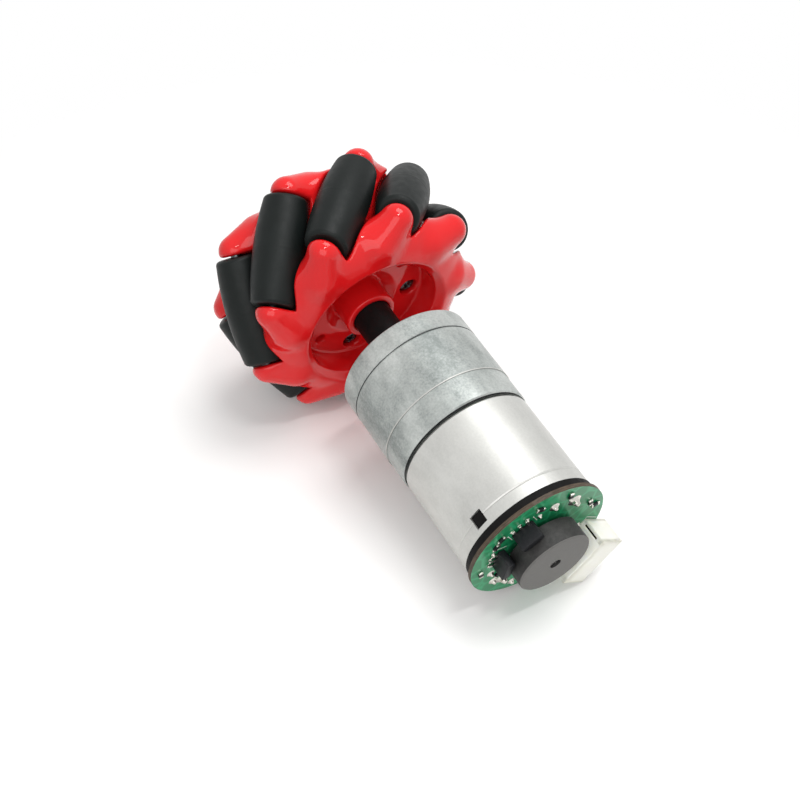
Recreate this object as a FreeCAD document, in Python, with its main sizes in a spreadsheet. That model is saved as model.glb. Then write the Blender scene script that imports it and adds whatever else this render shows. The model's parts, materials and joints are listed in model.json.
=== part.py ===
"""Mecanum wheel of the 48 mm class on a 25 mm gear motor with a magnetic encoder.

The wheel turns about Y. The origin is the centre of the gearbox's mounting face, +Y points to the wheel, +Z is up.
Angles about the axis are measured from +Z towards +X.
"""
import FreeCAD, Part
import math
import os

import Sketcher

SIZES = {
    # Gearbox, from its mounting face back to the motor
    "gearbox_radius": 12.5,
    "cover_length": 4.25,
    "case_length": 10.35,
    "rear_length": 5.35,
    "rear_step": 0.12,
    "rear_floor": 2.4,
    "case_wall": 1.2,
    "edge_break": 0.22,
    "cover_boss_radius": 3.5,
    "cover_boss_length": 2.5,
    "mount_circle_radius": 8.5,
    "mount_hole_radius": 1.25,
    "mount_hole_depth": 3.0,
    "tie_circle_radius": 9.6,
    "tie_screw_radius": 1.0,
    "tie_head_radius": 1.8,
    "tie_head_length": 1.2,
    "tie_count": 3,
    "bush_wall": 0.9,
    # Gear train: four equal stages between the motor and the output shaft
    "wheel_teeth": 19,
    "pinion_teeth": 9,
    "pressure_angle": 25,
    "addendum": 0.8,
    "dedendum": 1.15,
    "tooth_backlash": 0.14,
    "gear_room": 0.6,
    "gear_spacing": 0.8,
    "lay_pin_radius": 0.75,
    # Output shaft and coupling
    "shaft_radius": 2.0,
    "shaft_flat": 0.5,
    "shaft_reach": 12.0,
    "running_gap": 0.05,
    "coupling_radius": 3.56,
    "coupling_gap": 0.6,
    "hex_radius": 2.85,
    "hex_gap": 0.1,
    "set_screw_radius": 1.5,
    "drive_phase": 153,
    # Wheel
    "wheel_centre": 21.92,
    "wheel_radius": 24.0,
    "wheel_phase": 74,
    "half_width": 12.25,
    "roller_count": 9,
    "roller_radius": 4.65,
    "roller_end_radius": 3.8,
    "roller_half_length": 9.7,
    "roller_edge": 1.2,
    "roller_tilt": 45,
    "roller_end_gap": 0.45,
    "roller_side_gap": 0.5,
    "axle_radius": 1.0,
    "axle_seat": 2.5,
    # Wheel plates
    "ring_radius": 21.2,
    "ring_face_width": 1.7,
    "ring_round": 3.0,
    "rim_thickness": 0.7,
    "drum_shoulder": 0.8,
    "drum_radius": 13.9,
    "recess_radius": 12.9,
    "recess_lip": 1.6,
    "recess_lip_depth": 1.4,
    "recess_floor": 5.9,
    "recess_round": 0.8,
    "hub_round": 0.45,
    "plate_web": 2.2,
    "hub_radius": 4.86,
    "hub_end": 10.05,
    "hub_step": 5.5,
    "core_radius": 6.0,
    "drum_wall": 1.6,
    "finger_radius": 2.9,
    "finger_neck_radius": 2.85,
    "finger_root_radius": 3.1,
    "finger_tip": 0.6,
    "finger_length": 5.2,
    "finger_lean": 38,
    "finger_rise": 15,
    "screw_circle_radius": 10.4,
    "screw_offset": 22.5,
    "screw_count": 4,
    "screw_radius": 0.95,
    "screw_gap": 0.08,
    "screw_head_radius": 1.7,
    "screw_head_length": 1.1,
    "screw_seat_depth": 1.5,
    "screw_boss_radius": 2.2,
    "screw_reach": 4.6,
    # Hub screw and washer
    "hub_screw_radius": 1.5,
    "hub_screw_head_radius": 2.75,
    "hub_screw_head_length": 1.9,
    "hub_screw_length": 8.0,
    "washer_radius": 3.4,
    "washer_length": 0.5,
    # Motor
    "can_radius": 12.15,
    "can_length": 19.3,
    "can_wall": 1.0,
    "can_round": 0.5,
    "can_boss_radius": 3.0,
    "can_boss_length": 1.6,
    "can_seat_radius": 10.8,
    "can_seat_height": 0.3,
    "band_place": 2.3,
    "band_depth": 0.1,
    "band_width": 0.22,
    "window_side": 2.4,
    "window_place": 0.95,
    "window_angle": -54,
    "cap_length": 1.45,
    "cap_overhang": 0.1,
    "cap_plug_length": 4.6,
    "cap_wall": 1.4,
    "lug_sink": 0.35,
    "fit_gap": 0.1,
    "rotor_shaft_radius": 1.0,
    "magnet_length": 12.0,
    "magnet_thickness": 1.6,
    "magnet_span": 130,
    "air_gap": 0.4,
    "core_length": 9.0,
    "core_slots": 5,
    "slot_width": 1.4,
    "winding_length": 1.6,
    "commutator_radius": 2.4,
    "commutator_length": 2.6,
    "motor_screw_circle": 8.0,
    "motor_screw_radius": 1.0,
    "motor_screw_head": 1.8,
    "motor_screw_head_length": 1.1,
    # Encoder
    "board_radius": 12.75,
    "board_thickness": 0.8,
    "board_hole": 2.2,
    "disc_radius": 6.64,
    "disc_gap": 0.9,
    "disc_length": 4.1,
    "disc_edge": 0.25,
    "shaft_recess": 0.5,
    "sensor_width": 4.1,
    "sensor_thickness": 1.6,
    "sensor_height": 3.1,
    "sensor_gap": 0.4,
    "sensor_angle": -58.5,
    "sensor_spread": 25.5,
    "terminal_width": 1.6,
    "terminal_thickness": 0.5,
    "terminal_circle": 9.4,
    "terminal_proud": 0.7,
    "socket_width": 10.5,
    "socket_depth": 6.0,
    "socket_height": 5.0,
    "socket_wall": 0.65,
    "socket_start": 8.3,
    "socket_pins": 6,
    "socket_pitch": 1.5,
    "socket_pin_side": 0.5,
}

# Places along the axis and other sizes that follow from the table above
DERIVED = {
    "cover_back": "-Sizes.cover_length",
    "case_back": "-(Sizes.cover_length + Sizes.case_length)",
    "rear_back": "Layout.case_back - Sizes.rear_length",
    "rear_floor_front": "Layout.rear_back + Sizes.rear_floor",
    "case_bore": "Sizes.gearbox_radius - Sizes.case_wall",
    "bush_radius": "Sizes.shaft_radius + Sizes.running_gap + Sizes.bush_wall",
    "tooth_module": "(Layout.case_bore - Sizes.gear_room)"
    " / (Sizes.wheel_teeth + Sizes.pinion_teeth / 2 + Sizes.addendum)",
    "lay_distance": "Layout.tooth_module * (Sizes.wheel_teeth + Sizes.pinion_teeth) / 2",
    "stage_pitch": "(Layout.cover_back - Layout.rear_floor_front) / 4",
    "gear_face": "Layout.stage_pitch - Sizes.gear_spacing",
    "journal_radius": "Sizes.lay_pin_radius",
    "gear_bore": "Sizes.lay_pin_radius + Sizes.running_gap",
    "coupling_front": "Sizes.cover_boss_length + Sizes.coupling_gap",
    "coupling_step": "Sizes.wheel_centre - Sizes.hub_step",
    "coupling_end": "Sizes.wheel_centre + Sizes.hub_step - Sizes.hex_gap",
    "hub_bore": "Sizes.coupling_radius + Sizes.fit_gap",
    "pitch_radius": "Sizes.wheel_radius - Sizes.roller_radius",
    "roller_drop": "Sizes.roller_radius - Sizes.roller_end_radius",
    "barrel_radius": "(Sizes.roller_half_length ^ 2 + Layout.roller_drop ^ 2) / (2 * Layout.roller_drop)",
    "ring_back": "Sizes.drum_shoulder + Sizes.ring_radius - Sizes.drum_radius",
    "ring_edge": "Layout.ring_back + Sizes.rim_thickness",
    "ring_face": "Sizes.recess_radius + Sizes.recess_lip + Sizes.ring_face_width",
    "finger_start": "Sizes.roller_half_length + Sizes.roller_end_gap",
    "axle_half_length": "Layout.finger_start + Sizes.axle_seat",
    "can_back": "Layout.rear_back - Sizes.can_length",
    "can_bore": "Sizes.can_radius - Sizes.can_wall",
    "cap_back": "Layout.can_back - Sizes.cap_length",
    "cap_plug_front": "Layout.can_back + Sizes.cap_plug_length",
    "board_back": "Layout.cap_back - Sizes.board_thickness",
    "disc_front": "Layout.board_back - Sizes.disc_gap",
    "disc_back": "Layout.disc_front - Sizes.disc_length",
    "rotor_front": "Layout.rear_floor_front + Sizes.gear_spacing / 2 + Layout.gear_face",
    "magnet_bore": "Layout.can_bore - Sizes.magnet_thickness",
    "core_radius_motor": "Layout.magnet_bore - Sizes.air_gap",
    "motor_middle": "(Layout.rear_back - Sizes.can_wall + Layout.cap_plug_front) / 2",
}

AXIS_Y = FreeCAD.Vector(0, 1, 0)
SAME_PLACE = 1e-4
ALONG_Y = FreeCAD.Rotation(FreeCAD.Vector(1, 0, 0), -90)

doc = FreeCAD.newDocument("mecanum_drive")
sheet = doc.addObject("Spreadsheet::Sheet", "Sizes")
for row, (alias, number) in enumerate(SIZES.items(), start=1):
    sheet.set(f"A{row}", alias)
    sheet.set(f"B{row}", str(number))
    sheet.setAlias(f"B{row}", alias)
doc.recompute()

layout = doc.addObject("App::VarSet", "Layout")
for name, formula in DERIVED.items():
    layout.addProperty("App::PropertyFloat", name)
    layout.setExpression(name, formula)
doc.recompute()

nodes = {}


def size(name):
    """Present value of a driving or derived size."""
    if name in SIZES:
        return float(sheet.get(name))
    return float(layout.getPropertyByName(name))


def about_axis(angle):
    """Rotation about the wheel axis."""
    return FreeCAD.Rotation(AXIS_Y, angle)


def at_angle(angle, radius, along):
    """Point at an angle and radius about the axis."""
    turn = math.radians(angle)
    return FreeCAD.Vector(radius * math.sin(turn), along, radius * math.cos(turn))


def keep(label, piece, place=None):
    """Makes a finished object a sub-part of its own."""
    piece.Label = label
    if place is not None:
        piece.Placement = place
    nodes[label] = piece
    return piece


def origin_plane(body, role):
    """One of a body's own origin planes or axes."""
    return [item for item in body.Origin.OriginFeatures if item.Role == role][0]


def outline_sketch(body, name, corners, role="XY_Plane"):
    """Closed sketch through corners, each a pair of formulas that set its two distances from the origin."""
    sketch = body.newObject("Sketcher::SketchObject", name)
    sketch.AttachmentSupport = [(origin_plane(body, role), "")]
    sketch.MapMode = "FlatFace"
    count = len(corners)
    rough = []
    for index in range(count):
        turn = 2 * math.pi * index / count
        rough.append(FreeCAD.Vector(20 + 10 * math.cos(turn), 10 * math.sin(turn), 0))
    for index in range(count):
        sketch.addGeometry(Part.LineSegment(rough[index], rough[(index + 1) % count]), False)
    for index in range(count):
        sketch.addConstraint(Sketcher.Constraint("Coincident", index, 2, (index + 1) % count, 1))
    for index, (across, along) in enumerate(corners):
        for kind, formula, start in (("DistanceX", across, rough[index].x), ("DistanceY", along, rough[index].y)):
            number = sketch.addConstraint(Sketcher.Constraint(kind, -1, 1, index, 1, start))
            sketch.setExpression(f"Constraints[{number}]", formula)
    return sketch


def turned_body(name, corners):
    """Body turned about Y from an outline of (radius, place along the axis) formulas."""
    body = doc.addObject("PartDesign::Body", name)
    sketch = outline_sketch(body, name + "_outline", corners)
    turn = body.newObject("PartDesign::Revolution", name + "_turned")
    turn.Profile = sketch
    turn.ReferenceAxis = (sketch, ["V_Axis"])
    turn.Angle = 360
    body.Tip = turn
    return body


def body_primitive(body, kind, name, place, **formulas):
    """Additive or subtractive primitive of a body at a place, with its sizes bound to formulas."""
    feature = body.newObject("PartDesign::" + kind, name)
    feature.Placement = place
    for prop, formula in formulas.items():
        feature.setExpression(prop, formula)
    body.Tip = feature
    return feature


def round_edges(body, name, radius, rings):
    """Fillet of a body's round edges, each found by its radius and its place along the axis."""
    doc.recompute()
    base = body.Tip
    found = []
    for number, edge in enumerate(base.Shape.Edges, start=1):
        if not isinstance(edge.Curve, Part.Circle):
            continue
        for ring_radius, along in rings:
            off = abs(edge.Curve.Radius - ring_radius) + abs(edge.Curve.Center.y - along)
            if off < SAME_PLACE:
                found.append(f"Edge{number}")
    fillet = body.newObject("PartDesign::Fillet", name)
    fillet.Base = (base, found)
    fillet.setExpression("Radius", radius)
    body.Tip = fillet
    return fillet


def ring_of(body, name, originals, count):
    """Copies of a body's features round Y, with their number bound to a formula."""
    pattern = body.newObject("PartDesign::PolarPattern", name)
    pattern.Originals = originals
    pattern.Axis = (origin_plane(body, "Y_Axis"), [""])
    pattern.Angle = 360
    pattern.setExpression("Occurrences", count)
    body.Tip = pattern
    return pattern


def cylinder(name, radius, start, end):
    """Plain cylinder about Y between two places."""
    solid = doc.addObject("Part::Cylinder", name)
    solid.Placement = FreeCAD.Placement(FreeCAD.Vector(), ALONG_Y)
    solid.setExpression("Radius", radius)
    solid.setExpression("Height", f"({end}) - ({start})")
    solid.setExpression("Placement.Base.y", start)
    return solid


def group(kind, name, members):
    """Union, or difference of the first member and the rest."""
    solid = doc.addObject(kind, name)
    if kind == "Part::Cut":
        solid.Base, solid.Tool = members
    elif kind == "Part::Compound":
        solid.Links = members
    else:
        solid.Shapes = members
    return solid


def cut(name, base, *tools):
    """Base with each tool taken out of it."""
    tool = tools[0] if len(tools) == 1 else group("Part::MultiFuse", name + "_tools", list(tools))
    return group("Part::Cut", name, [base, tool])


def spread(name, solid, angles):
    """Separate copies of one solid about Y at several angles."""
    copies = []
    for index, angle in enumerate(angles):
        copy = doc.addObject("Part::Compound", f"{name}_{index + 1}")
        copy.Links = [solid]
        copy.Placement = FreeCAD.Placement(FreeCAD.Vector(), about_axis(angle))
        copies.append(copy)
    return group("Part::Compound", name, copies)


def screw(name, radius, head_radius, head_length, seat, end, circle, sign):
    """Pan-headed screw parallel to Y at a distance from the axis: the head stands on its seat."""
    head_end = f"{seat} - ({sign}) * ({head_length})"
    low, high = (head_end, seat) if sign > 0 else (seat, head_end)
    head = cylinder(name + "_head", head_radius, low, high)
    low, high = (seat, end) if sign > 0 else (end, seat)
    shank = cylinder(name + "_shank", radius, low, high)
    for solid in (head, shank):
        solid.setExpression("Placement.Base.z", circle)
    return group("Part::MultiFuse", name, [head, shank])


# Gearbox

LAY_ANGLE = 180
MOUNT_ANGLES = (90, 270)
MOTOR_SCREW_ANGLES = (90, 270)
TIE_ANGLES = [360 * k / size("tie_count") for k in range(int(size("tie_count")))]


def axial_holes(body, name, angles, circle, radius, start, length):
    """Holes parallel to Y at several angles."""
    for index, angle in enumerate(angles):
        place = FreeCAD.Placement(at_angle(angle, size(circle), size(start)), ALONG_Y)
        body_primitive(body, "SubtractiveCylinder", f"{name}_{index + 1}", place, Radius=radius, Height=length)


def make_gearbox():
    """Cover with boss and mounting holes, case, rear plate, output bush, lay pin and tie screws."""
    chamfer = "Sizes.edge_break"
    outer = "Sizes.gearbox_radius"
    cover = turned_body("cover_body", [
        ("Layout.bush_radius", "Layout.cover_back"),
        (f"{outer} - {chamfer}", "Layout.cover_back"),
        (outer, f"Layout.cover_back + {chamfer}"),
        (outer, f"-{chamfer}"),
        (f"{outer} - {chamfer}", "0"),
        ("Sizes.cover_boss_radius", "0"),
        ("Sizes.cover_boss_radius", f"Sizes.cover_boss_length - {chamfer}"),
        (f"Sizes.cover_boss_radius - {chamfer}", "Sizes.cover_boss_length"),
        ("Layout.bush_radius", "Sizes.cover_boss_length"),
    ])
    for index, angle in enumerate(MOUNT_ANGLES):
        place = FreeCAD.Placement(at_angle(angle, size("mount_circle_radius"), -size("mount_hole_depth")), ALONG_Y)
        body_primitive(cover, "SubtractiveCylinder", f"mount_hole_{index + 1}", place,
                       Radius="Sizes.mount_hole_radius", Height="Sizes.mount_hole_depth")
    axial_holes(cover, "tie_hole", TIE_ANGLES, "tie_circle_radius", "Sizes.tie_screw_radius", "cover_back",
                "Sizes.cover_length")
    for index, angle in enumerate(TIE_ANGLES):
        place = FreeCAD.Placement(at_angle(angle, size("tie_circle_radius"), -size("tie_head_length")), ALONG_Y)
        body_primitive(cover, "SubtractiveCylinder", f"tie_seat_{index + 1}", place,
                       Radius="Sizes.tie_head_radius", Height="Sizes.tie_head_length")
    lay_place = FreeCAD.Placement(at_angle(LAY_ANGLE, size("lay_distance"), size("cover_back")), ALONG_Y)
    body_primitive(cover, "SubtractiveCylinder", "lay_seat_cover", lay_place,
                   Radius="Sizes.lay_pin_radius", Height="Sizes.cover_length / 2")
    keep("gearbox_cover", cover)

    keep("gearbox_case", turned_body("case_body", [
        ("Layout.case_bore", "Layout.case_back"),
        (f"{outer} - {chamfer}", "Layout.case_back"),
        (outer, f"Layout.case_back + {chamfer}"),
        (outer, f"Layout.cover_back - {chamfer}"),
        (f"{outer} - {chamfer}", "Layout.cover_back"),
        ("Layout.case_bore", "Layout.cover_back"),
    ]))

    rear_outer = f"{outer} - Sizes.rear_step"
    rear = turned_body("rear_body", [
        ("Sizes.can_boss_radius + Sizes.running_gap", "Layout.rear_back"),
        (f"{rear_outer} - {chamfer}", "Layout.rear_back"),
        (rear_outer, f"Layout.rear_back + {chamfer}"),
        (rear_outer, "Layout.case_back"),
        ("Layout.case_bore", "Layout.case_back"),
        ("Layout.case_bore", "Layout.rear_floor_front"),
        ("Sizes.can_boss_radius + Sizes.running_gap", "Layout.rear_floor_front"),
    ])
    axial_holes(rear, "tie_thread", TIE_ANGLES, "tie_circle_radius", "Sizes.tie_screw_radius", "rear_back",
                "Sizes.rear_floor")
    axial_holes(rear, "motor_hole", MOTOR_SCREW_ANGLES, "motor_screw_circle", "Sizes.motor_screw_radius", "rear_back",
                "Sizes.rear_floor")
    lay_rear = FreeCAD.Placement(
        at_angle(LAY_ANGLE, size("lay_distance"), size("rear_floor_front") - size("rear_floor") / 2), ALONG_Y)
    body_primitive(rear, "SubtractiveCylinder", "lay_seat_rear", lay_rear,
                   Radius="Sizes.lay_pin_radius", Height="Sizes.rear_floor / 2")
    keep("gearbox_rear_plate", rear)

    keep("output_bush", cut(
        "bush_solid",
        cylinder("bush_blank", "Layout.bush_radius", "Layout.cover_back", "Sizes.cover_boss_length"),
        cylinder("bush_bore", "Sizes.shaft_radius + Sizes.running_gap", "Layout.cover_back",
                 "Sizes.cover_boss_length")))

    pin = cylinder("lay_pin_solid", "Sizes.lay_pin_radius", "Layout.rear_floor_front - Sizes.rear_floor / 2",
                   "-Sizes.cover_length / 2")
    pin.setExpression("Placement.Base.z", "-Layout.lay_distance")
    keep("lay_pin", pin)

    tie = screw("tie_screw", "Sizes.tie_screw_radius", "Sizes.tie_head_radius", "Sizes.tie_head_length",
                "-Sizes.tie_head_length", "Layout.rear_back", "Sizes.tie_circle_radius", -1)
    keep("gearbox_screws", spread("tie_screws", tie, TIE_ANGLES))

    motor_screw = screw("motor_screw", "Sizes.motor_screw_radius", "Sizes.motor_screw_head",
                        "Sizes.motor_screw_head_length", "Layout.rear_floor_front",
                        "Layout.rear_back - Sizes.can_wall", "Sizes.motor_screw_circle", -1)
    keep("motor_screws", spread("motor_screw_pair", motor_screw, MOTOR_SCREW_ANGLES))


# Gear train

def tooth_outline(teeth, gap_first):
    """Closed outline of an involute gear: a tooth, or a gap between two, points at angle 0."""
    module = size("tooth_module")
    pressure = math.radians(size("pressure_angle"))
    pitch = module * teeth / 2
    base = pitch * math.cos(pressure)
    root = pitch - size("dedendum") * module
    tip = pitch + size("addendum") * module
    half_tooth = (math.pi * module / 2 - size("tooth_backlash")) / 2 / pitch
    involute = math.tan(pressure) - pressure
    flank = []
    for radius in (root, max(base, root), pitch, tip):
        slope = math.acos(min(1.0, base / radius))
        flank.append((radius, half_tooth + involute - (math.tan(slope) - slope)))
    points = []
    for tooth in range(teeth):
        middle = 2 * math.pi * (tooth + (0.5 if gap_first else 0.0)) / teeth
        for radius, half in flank:
            points.append((radius, middle - half))
        for radius, half in reversed(flank):
            points.append((radius, middle + half))
    corners = [FreeCAD.Vector(radius * math.sin(turn), 0, radius * math.cos(turn)) for radius, turn in points]
    return Part.Face(Part.makePolygon(corners + corners[:1]))


def toothed_solid(teeth, gap_first, toward, start, end):
    """Spur gear about Y between two places, its tooth or gap pointing at an angle."""
    face = tooth_outline(teeth, gap_first)
    face.rotate(FreeCAD.Vector(), AXIS_Y, toward)
    face.translate(FreeCAD.Vector(0, start, 0))
    return face.extrude(FreeCAD.Vector(0, end - start, 0))


def stage_start(stage):
    """Where a stage's teeth start, counted from the motor."""
    return size("rear_floor_front") + size("gear_spacing") / 2 + stage * size("stage_pitch")


def plain_bore(radius, start, end):
    """Cylinder about Y for boring a gear."""
    return Part.makeCylinder(radius, end - start, FreeCAD.Vector(0, start, 0), AXIS_Y)


def make_gears():
    """Pinion, three loose compound gears on alternate axes and the output gear."""
    big = int(size("wheel_teeth"))
    small = int(size("pinion_teeth"))
    face = size("gear_face")
    to_lay = LAY_ANGLE
    to_axis = LAY_ANGLE + 180

    first = stage_start(0)
    pinion = toothed_solid(small, False, to_lay, first, first + face)
    keep("motor_pinion", doc.addObject("Part::Feature", "pinion_solid"))
    nodes["motor_pinion"].Shape = pinion.cut(plain_bore(size("rotor_shaft_radius"), first, first + face))

    for stage in range(3):
        start = stage_start(stage)
        end = stage_start(stage + 1) + face
        mesh = to_axis if stage % 2 == 0 else to_lay
        solid = toothed_solid(big, True, mesh, start, start + face)
        solid = solid.fuse(toothed_solid(small, False, mesh, start + face, end))
        solid = solid.cut(plain_bore(size("gear_bore"), start, end))
        gear = doc.addObject("Part::Feature", f"gear_{stage + 1}_solid")
        gear.Shape = solid
        offset = size("lay_distance") if stage % 2 == 0 else 0.0
        keep(f"gear_{stage + 1}", gear, FreeCAD.Placement(at_angle(LAY_ANGLE, offset, 0), FreeCAD.Rotation()))

    last = stage_start(3)
    output = toothed_solid(big, True, to_lay, last, last + face)
    keep("output_gear", doc.addObject("Part::Feature", "output_gear_solid"))
    nodes["output_gear"].Shape = output.cut(plain_bore(size("shaft_radius"), last, last + face))


# Output shaft, coupling and hub fastening

def flat_box(name, flat_place, width, start, end):
    """Block beyond a flat that faces +Z."""
    block = doc.addObject("Part::Box", name)
    block.setExpression("Length", f"2 * ({width})")
    block.setExpression("Width", f"({end}) - ({start})")
    block.setExpression("Height", width)
    block.setExpression("Placement.Base.x", f"-({width})")
    block.setExpression("Placement.Base.y", start)
    block.setExpression("Placement.Base.z", flat_place)
    return block


def hexagon(name, radius, start, end, angle):
    """Hexagonal bar about Y, turned by an angle."""
    bar = doc.addObject("Part::Prism", name)
    bar.Polygon = 6
    bar.Placement = FreeCAD.Placement(FreeCAD.Vector(), about_axis(angle).multiply(ALONG_Y))
    bar.setExpression("Circumradius", radius)
    bar.setExpression("Height", f"({end}) - ({start})")
    bar.setExpression("Placement.Base.y", start)
    return bar


def make_drive():
    """Output shaft with its flat, black coupling, set screw, washer and hub screw."""
    turn = FreeCAD.Placement(FreeCAD.Vector(), about_axis(size("drive_phase")))
    gear_start = "Layout.cover_back - Sizes.gear_spacing / 2 - Layout.gear_face"
    bar = cylinder("shaft_bar", "Sizes.shaft_radius", gear_start, "Sizes.shaft_reach")
    journal = cylinder("shaft_journal", "Layout.journal_radius",
                       f"{gear_start} - 2 * Layout.stage_pitch", gear_start)
    blank = group("Part::MultiFuse", "shaft_blank", [bar, journal])
    flat = flat_box("shaft_flat_cut", "Sizes.shaft_radius - Sizes.shaft_flat", "Sizes.shaft_radius",
                    "Layout.coupling_front", "Sizes.shaft_reach")
    keep("output_shaft", cut("shaft_solid", blank, flat), turn)

    body = cylinder("coupling_body", "Sizes.coupling_radius", "Layout.coupling_front", "Layout.coupling_step")
    drive = hexagon("coupling_hex", "Sizes.hex_radius", "Layout.coupling_step", "Layout.coupling_end",
                    size("wheel_phase") - size("drive_phase"))
    blank = group("Part::MultiFuse", "coupling_blank", [body, drive])
    socket_end = "Sizes.shaft_reach + Sizes.fit_gap"
    socket = cylinder("coupling_socket", "Sizes.shaft_radius + Sizes.running_gap", "Layout.coupling_front", socket_end)
    key = flat_box("coupling_key", "Sizes.shaft_radius - Sizes.shaft_flat + Sizes.running_gap",
                   "Sizes.coupling_radius", "Layout.coupling_front", socket_end)
    bore = cut("coupling_bore", socket, key)
    thread = cylinder("coupling_thread", "Sizes.hub_screw_radius",
                      "Layout.coupling_end - Sizes.hub_screw_length", "Layout.coupling_end")
    set_place = "(Layout.coupling_front + Sizes.wheel_centre - Sizes.half_width) / 2"
    seat = doc.addObject("Part::Cylinder", "set_screw_hole")
    seat.setExpression("Radius", "Sizes.set_screw_radius")
    seat.setExpression("Height", "Sizes.coupling_radius")
    seat.setExpression("Placement.Base.y", set_place)
    keep("coupling", cut("coupling_solid", blank, bore, thread, seat), turn)

    point = doc.addObject("Part::Cylinder", "set_screw_solid")
    point.setExpression("Radius", "Sizes.set_screw_radius")
    point.setExpression("Height", "Sizes.coupling_radius - Sizes.shaft_radius + Sizes.shaft_flat - 3 * Sizes.fit_gap")
    point.setExpression("Placement.Base.y", set_place)
    point.setExpression("Placement.Base.z", "Sizes.shaft_radius - Sizes.shaft_flat")
    drive_hole = doc.addObject("Part::Prism", "set_screw_drive")
    drive_hole.Polygon = 6
    drive_hole.setExpression("Circumradius", "Sizes.set_screw_radius / 2")
    drive_hole.setExpression("Height", "Sizes.set_screw_radius")
    drive_hole.setExpression("Placement.Base.y", set_place)
    drive_hole.setExpression("Placement.Base.z", "Sizes.coupling_radius - Sizes.set_screw_radius")
    keep("coupling_set_screw", cut("set_screw", point, drive_hole), turn)

    washer_seat = "Sizes.wheel_centre + Sizes.hub_step"
    washer_back = f"{washer_seat} + Sizes.washer_length"
    keep("hub_washer", cut(
        "washer_solid",
        cylinder("washer_blank", "Sizes.washer_radius", washer_seat, washer_back),
        cylinder("washer_hole", "Sizes.hub_screw_radius + Sizes.fit_gap", washer_seat, washer_back)))
    head = cylinder("hub_head", "Sizes.hub_screw_head_radius", washer_back,
                    f"{washer_back} + Sizes.hub_screw_head_length")
    shank = cylinder("hub_shank", "Sizes.hub_screw_radius",
                     "Layout.coupling_end - Sizes.hub_screw_length", washer_back)
    keep("hub_screw", group("Part::MultiFuse", "hub_screw_solid", [head, shank]))


# Wheel plates and rollers

ROLLER_COUNT = int(size("roller_count"))
WHEEL_PLACE = FreeCAD.Placement(FreeCAD.Vector(0, size("wheel_centre"), 0), about_axis(size("wheel_phase")))
TURNED_OVER = FreeCAD.Rotation(FreeCAD.Vector(0, 0, 1), 180)


def roller_frame(index, along=0.0):
    """Place of a roller's axis, which runs along its Y, in the wheel's own frame."""
    turn = about_axis(360 * index / ROLLER_COUNT)
    tilt = FreeCAD.Rotation(FreeCAD.Vector(0, 0, 1), -size("roller_tilt"))
    rotation = turn.multiply(tilt)
    middle = turn.multVec(FreeCAD.Vector(0, 0, size("pitch_radius")))
    return FreeCAD.Placement(middle + rotation.multVec(FreeCAD.Vector(0, along, 0)), rotation)


def along_roller(index, along):
    """Place for a primitive whose own axis is Z, on a roller's axis."""
    frame = roller_frame(index, along)
    return FreeCAD.Placement(frame.Base, frame.Rotation.multiply(ALONG_Y))


def finger_direction(tip):
    """Way a finger runs from its tip: inward, back against the turn and out towards the plate's face."""
    outward = FreeCAD.Vector(tip.x, 0, tip.z).normalize()
    onward = AXIS_Y.cross(outward)
    lean = math.radians(size("finger_lean"))
    rise = math.radians(size("finger_rise"))
    level = outward * -math.cos(lean) - onward * math.sin(lean)
    return level * math.cos(rise) - AXIS_Y * math.sin(rise)


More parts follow.
